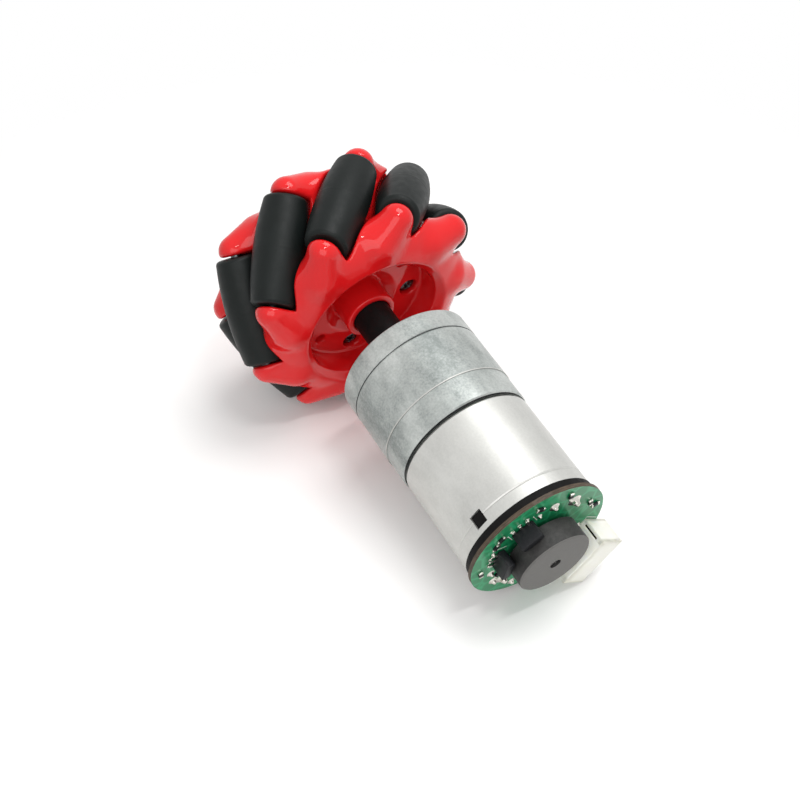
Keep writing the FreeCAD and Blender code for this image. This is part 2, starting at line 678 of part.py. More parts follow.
def make_plate(label, place):
    """Moulded plate: recessed disc and hub, nine fingers that hold the axles, room for the rollers."""
    face = "-Sizes.half_width"
    lip = "Sizes.recess_radius + Sizes.recess_lip"
    web_back = "-Sizes.recess_floor + Sizes.plate_web"
    plate = turned_body(label + "_body", [
        ("Layout.hub_bore", "-Sizes.hub_end"),
        ("Sizes.hub_radius", "-Sizes.hub_end"),
        ("Sizes.hub_radius", "-Sizes.recess_floor"),
        ("Sizes.recess_radius", "-Sizes.recess_floor"),
        ("Sizes.recess_radius", f"{face} + Sizes.recess_lip_depth"),
        (lip, face),
        ("Layout.ring_face", face),
        ("Sizes.ring_radius", "-Layout.ring_edge"),
        ("Sizes.ring_radius", "-Layout.ring_back"),
        ("Sizes.drum_radius", "-Sizes.drum_shoulder"),
        ("Sizes.drum_radius", "0"),
        ("Sizes.drum_radius - Sizes.drum_wall", "0"),
        ("Sizes.drum_radius - Sizes.drum_wall", web_back),
        ("Sizes.core_radius", web_back),
        ("Sizes.core_radius", "0"),
        ("Sizes.hex_radius / 2", "0"),
        ("Sizes.hex_radius / 2", "-Sizes.hub_step"),
        ("Layout.hub_bore", "-Sizes.hub_step"),
    ])
    front = -size("half_width")
    floor = -size("recess_floor")
    hole_mouth = floor - size("recess_round")
    round_edges(plate, label + "_face_round", "Sizes.ring_round", [(size("ring_face"), front)])
    round_edges(plate, label + "_floor_round", "Sizes.recess_round", [(size("recess_radius"), floor)])
    round_edges(plate, label + "_hub_round", "Sizes.hub_round",
                [(size("hub_radius"), -size("hub_end")), (size("hub_radius"), floor)])

    tip = roller_frame(0, -size("finger_start") - size("finger_tip")).Base
    arm = FreeCAD.Rotation(FreeCAD.Vector(0, 0, 1), finger_direction(tip))
    ball = body_primitive(plate, "AdditiveSphere", label + "_finger_tip", FreeCAD.Placement(tip, arm),
                          Radius="Sizes.finger_radius")
    stem = body_primitive(plate, "AdditiveCone", label + "_finger_stem", FreeCAD.Placement(tip, arm),
                          Radius1="Sizes.finger_neck_radius", Radius2="Sizes.finger_root_radius",
                          Height="Sizes.finger_length")
    ring_of(plate, label + "_fingers", [ball, stem], "Sizes.roller_count")
    room = body_primitive(
        plate, "SubtractiveCylinder", label + "_room", along_roller(0, -size("finger_start")),
        Radius="Sizes.roller_radius + Sizes.roller_side_gap", Height="2 * Layout.finger_start")
    ring_of(plate, label + "_rooms", [room], "Sizes.roller_count")
    seat = body_primitive(
        plate, "SubtractiveCylinder", label + "_axle_seat", along_roller(0, -size("axle_half_length")),
        Radius="Sizes.axle_radius", Height="Layout.axle_half_length")
    ring_of(plate, label + "_axle_seats", [seat], "Sizes.roller_count")

    for name, angle, gap in (("screw", size("screw_offset"), "Sizes.screw_gap"),
                             ("thread", -size("screw_offset"), "Sizes.screw_gap / 2")):
        boss_place = FreeCAD.Placement(
            at_angle(angle, size("screw_circle_radius"), -size("recess_floor") + size("plate_web")), ALONG_Y)
        boss = body_primitive(plate, "AdditiveCylinder", f"{label}_{name}_boss", boss_place,
                              Radius="Sizes.screw_boss_radius", Height="Sizes.recess_floor - Sizes.plate_web")
        ring_of(plate, f"{label}_{name}_bosses", [boss], "Sizes.screw_count")
        hole_place = FreeCAD.Placement(at_angle(angle, size("screw_circle_radius"), hole_mouth), ALONG_Y)
        hole = body_primitive(plate, "SubtractiveCylinder", f"{label}_{name}_hole", hole_place,
                              Radius=f"Sizes.screw_radius + {gap}", Height="Sizes.recess_floor + Sizes.recess_round")
        ring_of(plate, f"{label}_{name}_holes", [hole], "Sizes.screw_count")

    seat_place = FreeCAD.Placement(at_angle(size("screw_offset"), size("screw_circle_radius"), hole_mouth), ALONG_Y)
    head_seat = body_primitive(plate, "SubtractiveCylinder", label + "_screw_seat", seat_place,
                               Radius="Sizes.screw_head_radius + Sizes.fit_gap",
                               Height="Sizes.screw_seat_depth + Sizes.recess_round")
    ring_of(plate, label + "_screw_seats", [head_seat], "Sizes.screw_count")

    hex_hole = body_primitive(
        plate, "SubtractivePrism", label + "_hex",
        FreeCAD.Placement(FreeCAD.Vector(0, -size("hub_step"), 0), ALONG_Y),
        Circumradius="Sizes.hex_radius + Sizes.hex_gap", Height="Sizes.hub_step")
    hex_hole.Polygon = 6
    keep(label, plate, place)


def make_plate_screws():
    """Four screws from each side, each through one plate into the other."""
    angles = [size("screw_offset") + 360 * k / size("screw_count") for k in range(int(size("screw_count")))]
    for label, place in (("inner_plate_screws", WHEEL_PLACE),
                         ("outer_plate_screws", WHEEL_PLACE.multiply(FreeCAD.Placement(FreeCAD.Vector(), TURNED_OVER)))):
        one = screw(label + "_one", "Sizes.screw_radius", "Sizes.screw_head_radius", "Sizes.screw_head_length",
                    "-Sizes.recess_floor + Sizes.screw_seat_depth", "Sizes.screw_reach",
                    "Sizes.screw_circle_radius", 1)
        keep(label, spread(label + "_ring", one, angles), place)


def make_roller(index):
    """Barrel roller with rounded ends, bored for its axle."""
    name = f"roller_{index + 1}"
    body = doc.addObject("PartDesign::Body", name + "_body")
    sketch = body.newObject("Sketcher::SketchObject", name + "_outline")
    sketch.AttachmentSupport = [(origin_plane(body, "XY_Plane"), "")]
    sketch.MapMode = "FlatFace"
    half = size("roller_half_length")
    side = size("roller_end_radius")
    bore = size("axle_radius") + size("running_gap")
    corners = [FreeCAD.Vector(side, half, 0), FreeCAD.Vector(bore, half, 0),
               FreeCAD.Vector(bore, -half, 0), FreeCAD.Vector(side, -half, 0)]
    for start, end in zip(corners, corners[1:]):
        sketch.addGeometry(Part.LineSegment(start, end), False)
    barrel = Part.Arc(corners[3], FreeCAD.Vector(size("roller_radius"), 0, 0), corners[0])
    sketch.addGeometry(barrel, False)
    for line in range(4):
        sketch.addConstraint(Sketcher.Constraint("Coincident", line, 2, (line + 1) % 4, 1))
    bore_radius = "Sizes.axle_radius + Sizes.running_gap"
    places = [
        ("Sizes.roller_end_radius", "Sizes.roller_half_length"),
        (bore_radius, "Sizes.roller_half_length"),
        (bore_radius, "-Sizes.roller_half_length"),
        ("Sizes.roller_end_radius", "-Sizes.roller_half_length"),
    ]
    for line, (across, along) in enumerate(places):
        for kind, formula, now in (("DistanceX", across, corners[line].x), ("DistanceY", along, corners[line].y)):
            number = sketch.addConstraint(Sketcher.Constraint(kind, -1, 1, line, 1, now))
            sketch.setExpression(f"Constraints[{number}]", formula)
    number = sketch.addConstraint(Sketcher.Constraint("Radius", 3, size("barrel_radius")))
    sketch.setExpression(f"Constraints[{number}]", "Layout.barrel_radius")
    turn = body.newObject("PartDesign::Revolution", name + "_turned")
    turn.Profile = sketch
    turn.ReferenceAxis = (sketch, ["V_Axis"])
    turn.Angle = 360
    body.Tip = turn
    round_edges(body, name + "_ends", "Sizes.roller_edge", [(side, half), (side, -half)])
    keep(name, body, WHEEL_PLACE.multiply(roller_frame(index)))


def make_axle(index):
    """Steel axle of one roller, held at both ends in the plates' fingers."""
    axle = doc.addObject("Part::Cylinder", f"axle_{index + 1}_solid")
    axle.setExpression("Radius", "Sizes.axle_radius")
    axle.setExpression("Height", "2 * Layout.axle_half_length")
    place = WHEEL_PLACE.multiply(along_roller(index, -size("axle_half_length")))
    keep(f"roller_axle_{index + 1}", axle, place)


def make_wheel():
    """Two like plates, their screws, nine rollers and nine axles."""
    make_plate("inner_plate", WHEEL_PLACE)
    make_plate("outer_plate", WHEEL_PLACE.multiply(FreeCAD.Placement(FreeCAD.Vector(), TURNED_OVER)))
    make_plate_screws()
    for index in range(ROLLER_COUNT):
        make_roller(index)
        make_axle(index)


# Motor

WINDOW_ANGLES = (size("window_angle"), size("window_angle") + 180)


def make_can():
    """Drawn steel can with its front boss and seat, two lug windows and a fine line round its rear."""
    outer = "Sizes.can_radius"
    front = "Layout.rear_back"
    band = "Layout.can_back + Sizes.band_place"
    can = turned_body("can_body", [
        ("Sizes.rotor_shaft_radius + Sizes.running_gap", f"{front} + Sizes.can_boss_length"),
        ("Sizes.rotor_shaft_radius + Sizes.running_gap", f"{front} - Sizes.can_wall"),
        ("Layout.can_bore", f"{front} - Sizes.can_wall"),
        ("Layout.can_bore", "Layout.can_back"),
        (outer, "Layout.can_back"),
        (outer, f"{band} - Sizes.band_width"),
        (f"{outer} - Sizes.band_depth", band),
        (outer, f"{band} + Sizes.band_width"),
        (outer, f"{front} - Sizes.can_seat_height - Sizes.can_round"),
        (f"{outer} - Sizes.can_round", f"{front} - Sizes.can_seat_height"),
        ("Sizes.can_seat_radius", f"{front} - Sizes.can_seat_height"),
        ("Sizes.can_seat_radius", front),
        ("Sizes.can_boss_radius", front),
        ("Sizes.can_boss_radius", f"{front} + Sizes.can_boss_length"),
    ])
    for index, angle in enumerate(WINDOW_ANGLES):
        turn = about_axis(angle)
        corner = turn.multVec(FreeCAD.Vector(-size("window_side") / 2, size("can_back") + size("window_place"),
                                             size("can_bore") - size("can_wall")))
        body_primitive(can, "SubtractiveBox", f"can_window_{index + 1}", FreeCAD.Placement(corner, turn),
                       Length="Sizes.window_side", Width="Sizes.window_side", Height="3 * Sizes.can_wall")
    for index, angle in enumerate(MOTOR_SCREW_ANGLES):
        place = FreeCAD.Placement(
            at_angle(angle, size("motor_screw_circle"), size("rear_back") - size("can_wall")), ALONG_Y)
        body_primitive(can, "SubtractiveCylinder", f"can_thread_through_{index + 1}", place,
                       Radius="Sizes.motor_screw_radius", Height="Sizes.can_wall")
    keep("motor_can", can)


def make_end_cap():
    """Black end cap: flange, plug in the can and two lugs in the can's windows."""
    plug = "Layout.can_bore - Sizes.fit_gap"
    hole = "Sizes.rotor_shaft_radius + Sizes.running_gap"
    cap = turned_body("cap_body", [
        (hole, "Layout.cap_back"),
        ("Sizes.can_radius + Sizes.cap_overhang", "Layout.cap_back"),
        ("Sizes.can_radius + Sizes.cap_overhang", "Layout.can_back"),
        (plug, "Layout.can_back"),
        (plug, "Layout.cap_plug_front"),
        (f"{plug} - Sizes.cap_wall", "Layout.cap_plug_front"),
        (f"{plug} - Sizes.cap_wall", "Layout.can_back + Sizes.cap_wall / 2"),
        (hole, "Layout.can_back + Sizes.cap_wall / 2"),
    ])
    side = size("window_side") - 2 * size("fit_gap")
    for index, angle in enumerate(WINDOW_ANGLES):
        turn = about_axis(angle)
        corner = turn.multVec(FreeCAD.Vector(-side / 2, size("can_back") + size("window_place") + size("fit_gap"),
                                             size("can_bore") - size("can_wall")))
        body_primitive(cap, "AdditiveBox", f"cap_lug_{index + 1}", FreeCAD.Placement(corner, turn),
                       Length="Sizes.window_side - 2 * Sizes.fit_gap", Width="Sizes.window_side - 2 * Sizes.fit_gap",
                       Height="2 * Sizes.can_wall - Sizes.lug_sink")
    for index, angle in enumerate(TERMINAL_ANGLES):
        turn = about_axis(angle)
        corner = turn.multVec(FreeCAD.Vector(-size("terminal_width") / 2, size("cap_back"),
                                             size("terminal_circle") - size("terminal_thickness") / 2))
        body_primitive(cap, "SubtractiveBox", f"cap_slot_{index + 1}", FreeCAD.Placement(corner, turn),
                       Length="Sizes.terminal_width", Width="Sizes.cap_length + Sizes.cap_wall",
                       Height="Sizes.terminal_thickness")
    keep("motor_end_cap", cap)


def make_rotor():
    """Rotor shaft, slotted core, winding heads and commutator, with two field magnets round them."""
    shaft_end = "Layout.disc_back + Sizes.shaft_recess"
    keep("rotor_shaft", cylinder("rotor_shaft_solid", "Sizes.rotor_shaft_radius", shaft_end, "Layout.rotor_front"))
    low = "Layout.motor_middle - Sizes.core_length / 2"
    high = "Layout.motor_middle + Sizes.core_length / 2"
    shaft = "Sizes.rotor_shaft_radius"

    core = turned_body("core_body", [
        (shaft, low),
        ("Layout.core_radius_motor", low),
        ("Layout.core_radius_motor", high),
        (shaft, high),
    ])
    place = FreeCAD.Placement(
        FreeCAD.Vector(-size("slot_width") / 2, size("motor_middle") - size("core_length") / 2,
                       size("core_radius_motor") / 2), FreeCAD.Rotation())
    slot = body_primitive(core, "SubtractiveBox", "core_slot", place, Length="Sizes.slot_width",
                          Width="Sizes.core_length", Height="Layout.core_radius_motor")
    ring_of(core, "core_slots", [slot], "Sizes.core_slots")
    keep("rotor_core", core)

    heads = []
    for name, start, end in (("front", high, f"{high} + Sizes.winding_length"),
                             ("rear", f"{low} - Sizes.winding_length", low)):
        heads.append(cut(
            f"winding_{name}",
            cylinder(f"winding_{name}_blank", "Layout.core_radius_motor - Sizes.air_gap", start, end),
            cylinder(f"winding_{name}_bore", "Sizes.commutator_radius", start, end)))
    keep("rotor_windings", group("Part::Compound", "winding_heads", heads))

    commutator_end = f"{low} - Sizes.winding_length"
    commutator_start = f"{commutator_end} - Sizes.commutator_length"
    keep("commutator", cut(
        "commutator_solid",
        cylinder("commutator_blank", "Sizes.commutator_radius", commutator_start, commutator_end),
        cylinder("commutator_bore", shaft, commutator_start, commutator_end)))

    magnets = []
    start = "Layout.motor_middle - Sizes.magnet_length / 2"
    for index, angle in enumerate(WINDOW_ANGLES):
        arc = doc.addObject("Part::Cylinder", f"field_magnet_{index + 1}_blank")
        arc.setExpression("Radius", "Layout.can_bore")
        arc.setExpression("Height", "Sizes.magnet_length")
        arc.setExpression("Angle", "Sizes.magnet_span")
        arc.Placement = FreeCAD.Placement(FreeCAD.Vector(), about_axis(angle).multiply(ALONG_Y))
        arc.setExpression("Placement.Base.y", start)
        bore = cylinder(f"field_magnet_{index + 1}_bore", "Layout.magnet_bore", start,
                        f"{start} + Sizes.magnet_length")
        magnets.append(cut(f"field_magnet_{index + 1}", arc, bore))
    keep("field_magnets", group("Part::Compound", "field_magnet_pair", magnets))


# Encoder

TERMINAL_ANGLES = (size("window_angle") + 90, size("window_angle") + 270)
SOCKET_ANGLE = size("window_angle") + 180


def make_encoder():
    """Round board, magnet disc on the rotor shaft, two sensors, motor terminals and the plug socket."""
    board = turned_body("board_body", [
        ("Sizes.board_hole", "Layout.board_back"),
        ("Sizes.board_radius", "Layout.board_back"),
        ("Sizes.board_radius", "Layout.cap_back"),
        ("Sizes.board_hole", "Layout.cap_back"),
    ])
    for index, angle in enumerate(TERMINAL_ANGLES):
        turn = about_axis(angle)
        corner = turn.multVec(FreeCAD.Vector(-size("terminal_width") / 2, size("board_back"),
                                             size("terminal_circle") - size("terminal_thickness") / 2))
        body_primitive(board, "SubtractiveBox", f"board_slot_{index + 1}", FreeCAD.Placement(corner, turn),
                       Length="Sizes.terminal_width", Width="Sizes.board_thickness",
                       Height="Sizes.terminal_thickness")
    keep("encoder_board", board)

    edge = "Sizes.disc_edge"
    keep("encoder_magnet", turned_body("disc_body", [
        ("Sizes.rotor_shaft_radius", "Layout.disc_back"),
        (f"Sizes.disc_radius - {edge}", "Layout.disc_back"),
        ("Sizes.disc_radius", f"Layout.disc_back + {edge}"),
        ("Sizes.disc_radius", "Layout.disc_front"),
        ("Sizes.rotor_shaft_radius", "Layout.disc_front"),
    ]))

    sensors = []
    for index, turn_by in enumerate((-size("sensor_spread"), size("sensor_spread"))):
        turn = about_axis(size("sensor_angle") + turn_by)
        block = doc.addObject("Part::Box", f"sensor_{index + 1}")
        block.setExpression("Length", "Sizes.sensor_width")
        block.setExpression("Width", "Sizes.sensor_height")
        block.setExpression("Height", "Sizes.sensor_thickness")
        corner = turn.multVec(FreeCAD.Vector(-size("sensor_width") / 2, size("board_back") - size("sensor_height"),
                                             size("disc_radius") + size("sensor_gap")))
        block.Placement = FreeCAD.Placement(corner, turn)
        sensors.append(block)
    keep("hall_sensors", group("Part::Compound", "sensor_pair", sensors))

    tabs = []
    for index, angle in enumerate(TERMINAL_ANGLES):
        turn = about_axis(angle)
        tab = doc.addObject("Part::Box", f"terminal_{index + 1}")
        tab.setExpression("Length", "Sizes.terminal_width")
        tab.setExpression("Width", "Sizes.cap_length + Sizes.board_thickness + Sizes.terminal_proud")
        tab.setExpression("Height", "Sizes.terminal_thickness")
        corner = turn.multVec(FreeCAD.Vector(-size("terminal_width") / 2,
                                             size("board_back") - size("terminal_proud"),
                                             size("terminal_circle") - size("terminal_thickness") / 2))
        tab.Placement = FreeCAD.Placement(corner, turn)
        tabs.append(tab)
    keep("motor_terminals", group("Part::Compound", "terminal_pair", tabs))
    make_socket()


def socket_box(name, across, out, back, length, depth, height):
    """Block in the socket's own directions: across, outward from the axis and back from the board."""
    block = doc.addObject("Part::Box", name)
    block.setExpression("Length", length)
    block.setExpression("Height", depth)
    block.setExpression("Width", height)
    block.setExpression("Placement.Base.x", across)
    block.setExpression("Placement.Base.z", out)
    block.setExpression("Placement.Base.y", f"Layout.board_back - ({back}) - ({height})")
    return block


def make_socket():
    """Six-way plug socket that lies on the board and opens outward, with its pins."""
    turn = FreeCAD.Placement(FreeCAD.Vector(), about_axis(SOCKET_ANGLE))
    wall = "Sizes.socket_wall"
    shell = socket_box("socket_shell", "-Sizes.socket_width / 2", "Sizes.socket_start", "0",
                       "Sizes.socket_width", "Sizes.socket_depth", "Sizes.socket_height")
    mouth = socket_box("socket_mouth", f"-Sizes.socket_width / 2 + {wall}", f"Sizes.socket_start + 2 * {wall}", wall,
                       f"Sizes.socket_width - 2 * {wall}", f"Sizes.socket_depth - 2 * {wall}",
                       f"Sizes.socket_height - 2 * {wall}")
    pins = []
    holes = []
    count = int(size("socket_pins"))
    side = "Sizes.socket_pin_side"
    for index in range(count):
        across = f"({index} - (Sizes.socket_pins - 1) / 2) * Sizes.socket_pitch - {side} / 2"
        middle = f"Sizes.socket_height / 2 - {side} / 2"
        for kind, store in (("pin", pins), ("hole", holes)):
            store.append(socket_box(f"socket_{kind}_{index + 1}", across, f"Sizes.socket_start", middle,
                                    side, f"Sizes.socket_depth - 2 * {wall}", side))
    keep("plug_socket", cut("socket_solid", shell, mouth, *holes), turn)
    keep("socket_pins", group("Part::Compound", "socket_pin_row", pins), turn)


make_gearbox()
make_gears()
make_drive()
make_wheel()
make_can()
make_end_cap()
make_rotor()
make_encoder()
doc.recompute()

faults = [item.Name for item in doc.Objects if "Invalid" in item.State or "Error" in item.State]
for label, piece in nodes.items():
    if piece.Shape.isNull() or not piece.Shape.isValid() or not piece.Shape.Solids:
        faults.append(label)
    elif piece.TypeId == "PartDesign::Body" and len(piece.Shape.Solids) != 1:
        faults.append(f"{label} is in {len(piece.Shape.Solids)} pieces")
if faults:
    raise RuntimeError("these did not build: " + ", ".join(faults))

os.makedirs("parts", exist_ok=True)
for label, piece in nodes.items():
    piece.Shape.exportStep(f"parts/{label}.step")
print(len(nodes), "sub-parts written")
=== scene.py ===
"""Looks of a mecanum wheel on a gear motor with a magnetic encoder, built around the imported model.

Sizes are in millimetres and become metres as each mesh is made. The floor and the lamps are in metres. The
wheel turns about Y, and angles about that axis are measured from +Z towards +X, as in the model.
"""
import json
import math

import bmesh
import bpy
import numpy as np
from mathutils import Matrix, Vector


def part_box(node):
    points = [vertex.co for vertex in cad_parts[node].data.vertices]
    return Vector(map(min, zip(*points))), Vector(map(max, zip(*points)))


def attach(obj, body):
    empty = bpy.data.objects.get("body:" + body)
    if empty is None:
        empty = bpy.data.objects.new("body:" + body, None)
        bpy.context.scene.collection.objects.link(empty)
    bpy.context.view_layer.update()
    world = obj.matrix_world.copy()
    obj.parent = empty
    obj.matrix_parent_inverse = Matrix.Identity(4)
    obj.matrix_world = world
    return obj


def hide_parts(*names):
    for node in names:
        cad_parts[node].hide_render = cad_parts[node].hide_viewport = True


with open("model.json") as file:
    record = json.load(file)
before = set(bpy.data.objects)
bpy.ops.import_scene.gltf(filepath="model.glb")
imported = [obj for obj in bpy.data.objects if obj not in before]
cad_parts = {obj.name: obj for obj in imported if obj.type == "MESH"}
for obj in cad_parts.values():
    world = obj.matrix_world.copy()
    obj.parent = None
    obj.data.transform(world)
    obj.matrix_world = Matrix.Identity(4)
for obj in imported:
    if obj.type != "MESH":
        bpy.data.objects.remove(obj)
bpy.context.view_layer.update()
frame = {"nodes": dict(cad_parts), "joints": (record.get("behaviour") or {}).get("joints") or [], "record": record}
NODES = frame["nodes"]
JOINTS = {joint["name"]: joint for joint in frame["joints"]}

MM = 0.001
AXIS = Vector((0, 1, 0))
FULL_TURN = 2 * math.pi

# Camera and the directions seen in the picture
CAMERA_PLACE = Vector((-88.382, -115.863, 173.458)) * MM
CAMERA_AIM = Vector((-5.702, -7.423, 0.818)) * MM
CAMERA_LENS = 57.64
CAMERA_NEAR = 0.01
FILM_WIDTH = 36.0
FLOOR_TILT = math.radians(10)
UP = Vector((0, math.sin(FLOOR_TILT), math.cos(FLOOR_TILT)))
RIGHT = (CAMERA_AIM - CAMERA_PLACE).cross(UP).normalized()
AWAY = UP.cross(RIGHT)

# Floor and world
FLOOR_RADIUS = 0.15
FLOOR_FADE = (FLOOR_RADIUS * 0.55, FLOOR_RADIUS * 0.98)
FLOOR_DROP = 0.0001
FLOOR_SIDES = 96
LEVEL_LIGHT = 0.3
OVERHEAD_LIGHT = 0.76

# Lamps: name, place to the right, away and up from the camera's aim, width, depth and energy
LAMPS = (
    ("key", 0.12, 0.08, 0.42, 0.28, 0.22, 1.0),
    ("fill", -0.04, -0.36, 0.3, 0.4, 0.3, 0.75),
    ("glint", 0.08, -0.12, 0.4, 0.1, 0.02, 0.3),
)

# Angles above which an edge between faces is drawn sharp
EDGE_ANGLE = math.radians(40)
CHIP_EDGE_ANGLE = math.radians(50)
SOLDER_EDGE_ANGLE = math.radians(60)
BEVEL_STEPS = 3

# Wheel, as the roller joints give it
FIRST_ROLLER = Vector(JOINTS["roller_spin_1"]["pos_m"]) / MM
WHEEL_CENTRE = FIRST_ROLLER.y
PITCH_RADIUS = math.hypot(FIRST_ROLLER.x, FIRST_ROLLER.z)
WHEEL_PHASE = math.atan2(FIRST_ROLLER.x, FIRST_ROLLER.z)
WHEEL_PLACE = Matrix.Translation(AXIS * WHEEL_CENTRE * MM) @ Matrix.Rotation(WHEEL_PHASE, 4, "Y")
TURN_OVER = Matrix.Rotation(math.pi, 4, "Z")
ROLLER_COUNT = sum(name.startswith("roller_spin") for name in JOINTS)
ROLLER_TURN = FULL_TURN / ROLLER_COUNT
ROLLER_AXIS = np.array((math.sqrt(0.5), math.sqrt(0.5), 0))

# Rollers
ROLLER_RADIUS = 4.65
ROLLER_END_RADIUS = 3.8
ROLLER_HALF = 9.7
ROLLER_EDGE = 0.85
ROLLER_EDGE_STEPS = 8
ROLLER_BORE = 1.06
BORE_CHAMFER = 0.3
BARREL_POINTS = 41
MOULD_LINE_HEIGHT = 0.015
MOULD_LINE_HALF = 0.12

# Wheel plates, in the wheel's own frame with the first roller on top
HALF_WIDTH = 12.25
DRUM_RADIUS = 13.9
RING_RADIUS = 21.2
RING_BACK = 6.6
RING_FLAT = 1.7
RIM_THICKNESS = 1.1
RIM_BLEND = 2.2
RECESS_RADIUS = 12.9
RECESS_FLOOR = 5.9
RECESS_ROUND = 0.4
LIP_WIDTH = 1.6
LIP_DEPTH = 1.4
LIP_BLEND = 0.25
RING_FACE = RECESS_RADIUS + LIP_WIDTH + RING_FLAT
FACE_BLEND = 2.6
BACK_BLEND = 0.2
HUB_RADIUS = 4.86
HUB_END = 10.05
HUB_ROUND = 0.45
HUB_BORE = 3.66
BORE_BLEND = 0.3
ROOM_GAP = 0.4
ROOM_HALF = ROLLER_HALF + ROOM_GAP
ROOM_BLEND = 0.7
FINGER_TIP_SETBACK = 0.6
FINGER_RADIUS = 2.9
FINGER_ROOT_RADIUS = 3.1
FINGER_LENGTH = 5.2
FINGER_LEAN = math.radians(38)
FINGER_RISE = math.radians(15)
FINGER_BLEND = 1.9
SCREW_CIRCLE = 10.4
SCREW_OFFSET = math.radians(22.5)
SCREW_COUNT = 4
SCREW_TURN = FULL_TURN / SCREW_COUNT
SCREW_SEAT_RADIUS = 1.8
SCREW_SEAT_DEPTH = 1.5
PILOT_RADIUS = 0.99
HOLE_BLEND = 0.25
PLATE_STEP = 0.36
PLATE_ROOM_ACROSS = 1
PLATE_ROOM_FRONT = 1.2
PLATE_ROOM_BACK = 0.4

# Cross-headed screws
HEAD_RADIUS = 1.7
HEAD_LENGTH = 1.1
HEAD_ROUND = 0.3
HEAD_STEP = 0.07
HEAD_ROOM = 0.2
HEAD_TURN = 0.7
HEAD_TURN_STEP = 1.1
HUB_HEAD_RADIUS = 2.75
HUB_HEAD_LENGTH = 1.9
CROSS_FLOOR = 0.25
CROSS_HALF_WIDTH = 0.14
CROSS_WIDENING = 0.16
CROSS_REACH = 0.55
CROSS_LENGTHENING = 0.45
CROSS_BLEND = 0.08

# Painted shade and highlight: thin rings between the parts of the gearbox and at the can
SEAM_SHADE_WIDTH = 0.06
EDGE_HIGHLIGHT_WIDTH = 0.2
CAN_GAP_SHADE_WIDTH = 0.24
SEAM_DEPTH = 0.1
SEAM_PROUD = 0.015
SEAM_SIDES = 180

# Encoder board, looked at from behind the motor
BOARD_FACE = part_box("encoder_board")[0].y / MM
DISC_RADIUS = 6.64

# Sensors beside the encoder's disc, and their legs
SENSOR_ANGLES = (math.radians(-84), math.radians(-33))
SENSOR_SIZE = (4.1, 3.1, 1.6)
SENSOR_GAP = 0.4
SENSOR_SLOPE = 0.45
SENSOR_LIFT = 0.15
SENSOR_BEVEL = 0.12
LEG_SIZE = (0.4, 0.3, 1.5)
LEG_PITCH = 1.27
LEG_LIFT = 0.3
LEG_REACH = 0.5
LEG_BEVEL = 0.05

# Plug socket
SOCKET_ANGLE = math.radians(126)
SOCKET_WIDTH = 10.5
SOCKET_DEPTH = 6.0
SOCKET_HEIGHT = 5.0
SOCKET_START = 8.3
SOCKET_WALL = 0.65
SOCKET_BEVEL = 0.12
SOCKET_SLOT = 0.4
SLOT_SHARE = 0.75
# Width of the black tab behind each slot, painted shade deep in the slot
SLOT_SHADE_WIDTH = 1.5 * SOCKET_SLOT
PIN_COVER = 0.05
SOCKET_PITCH = 1.5
SOCKET_PINS = 6

# Solder joints: angle in degrees, distance from the axis, radius and height
SOLDER_JOINTS = (
    (36, 9.4, 1.25, 1.1),
    (-144, 9.4, 1.25, 1.1),
    (9, 8.75, 0.95, 0.7),
    (-9.6, 8.1, 0.5, 0.45),
    (-115, 9.3, 0.75, 0.6),
    (-133, 10.2, 0.85, 0.7),
    (-163, 11.0, 0.75, 0.6),
)
LEG_JOINT_TURNS = (-9, 0, 9)
LEG_JOINT = (9.4, 0.42, 0.4)
PIN_JOINT = (0.5, 0.5)
PIN_JOINT_BACK = 0.7
# Flank of a joint from the board to its tip, as shares of its radius and height
SOLDER_FLANK = ((1, 0), (0.74, 0.16), (0.52, 0.4), (0.4, 0.68), (0.3, 0.88), (0.14, 1))
SOLDER_SINK = 0.05
SOLDER_CORE = 0.01
SOLDER_SIDES = 32

# Small flat parts on the board: angle in degrees, distance from the axis and twist in degrees
CHIPS = (
    (-10, 10.6, 20),
    (-52, 10.6, 8),
    (-62, 10.3, 0),
    (22, 10.9, 70),
    (62, 10.4, 15),
    (72, 11.0, 100),
    (-101, 11.0, 0),
    (-125, 8.6, 80),
    (-176, 9.2, 30),
)
CHIP_SIZE = (1.0, 0.42, 0.78)
CHIP_LIFT = 0.22
CHIP_BEVEL = 0.05
CHIP_END_SIZE = (0.36, 0.46, 0.82)
CHIP_END_PLACE = 0.62
CHIP_END_LIFT = 0.23
CHIP_END_BEVEL = 0.08

# Printed lines on the board
MARK_BEVEL = 0.01
LONG_MARK = (0.16, 0.03, 3.0)
LONG_MARK_OUT = 1.4
SHORT_MARK = (1.8, 0.03, 0.16)
SHORT_MARK_BACK = 0.1
SOCKET_MARK_GAP = 0.35
SENSOR_MARK = (0.14, 0.03, 2.0)
SENSOR_MARK_ACROSS = 2.5
SENSOR_MARK_OUT = 1.3


def smooth_min(first, second, width):
    """Union of two distance fields with a fillet of about the given width."""
    share = np.maximum(width - np.abs(first - second), 0) / width
    return np.minimum(first, second) - share * share * width / 4


def smooth_max(first, second, width):
    """Overlap of two distance fields with a rounded edge of about the given width."""
    return -smooth_min(-first, -second, width)


def rounded_corner(across, along, radius):
    """Distance to a quarter plane whose corner is rounded."""
    across = across + radius
    along = along + radius
    outside = np.hypot(np.maximum(across, 0), np.maximum(along, 0))
    return outside + np.minimum(np.maximum(across, along), 0) - radius


def past_line(across, along, first, second):
    """Distance past a straight line through two points, positive on the side of larger across."""
    run = np.array(second) - np.array(first)
    run /= np.linalg.norm(run)
    return (along - first[1]) * run[0] * math.copysign(1, -run[1]) + (across - first[0]) * abs(run[1])


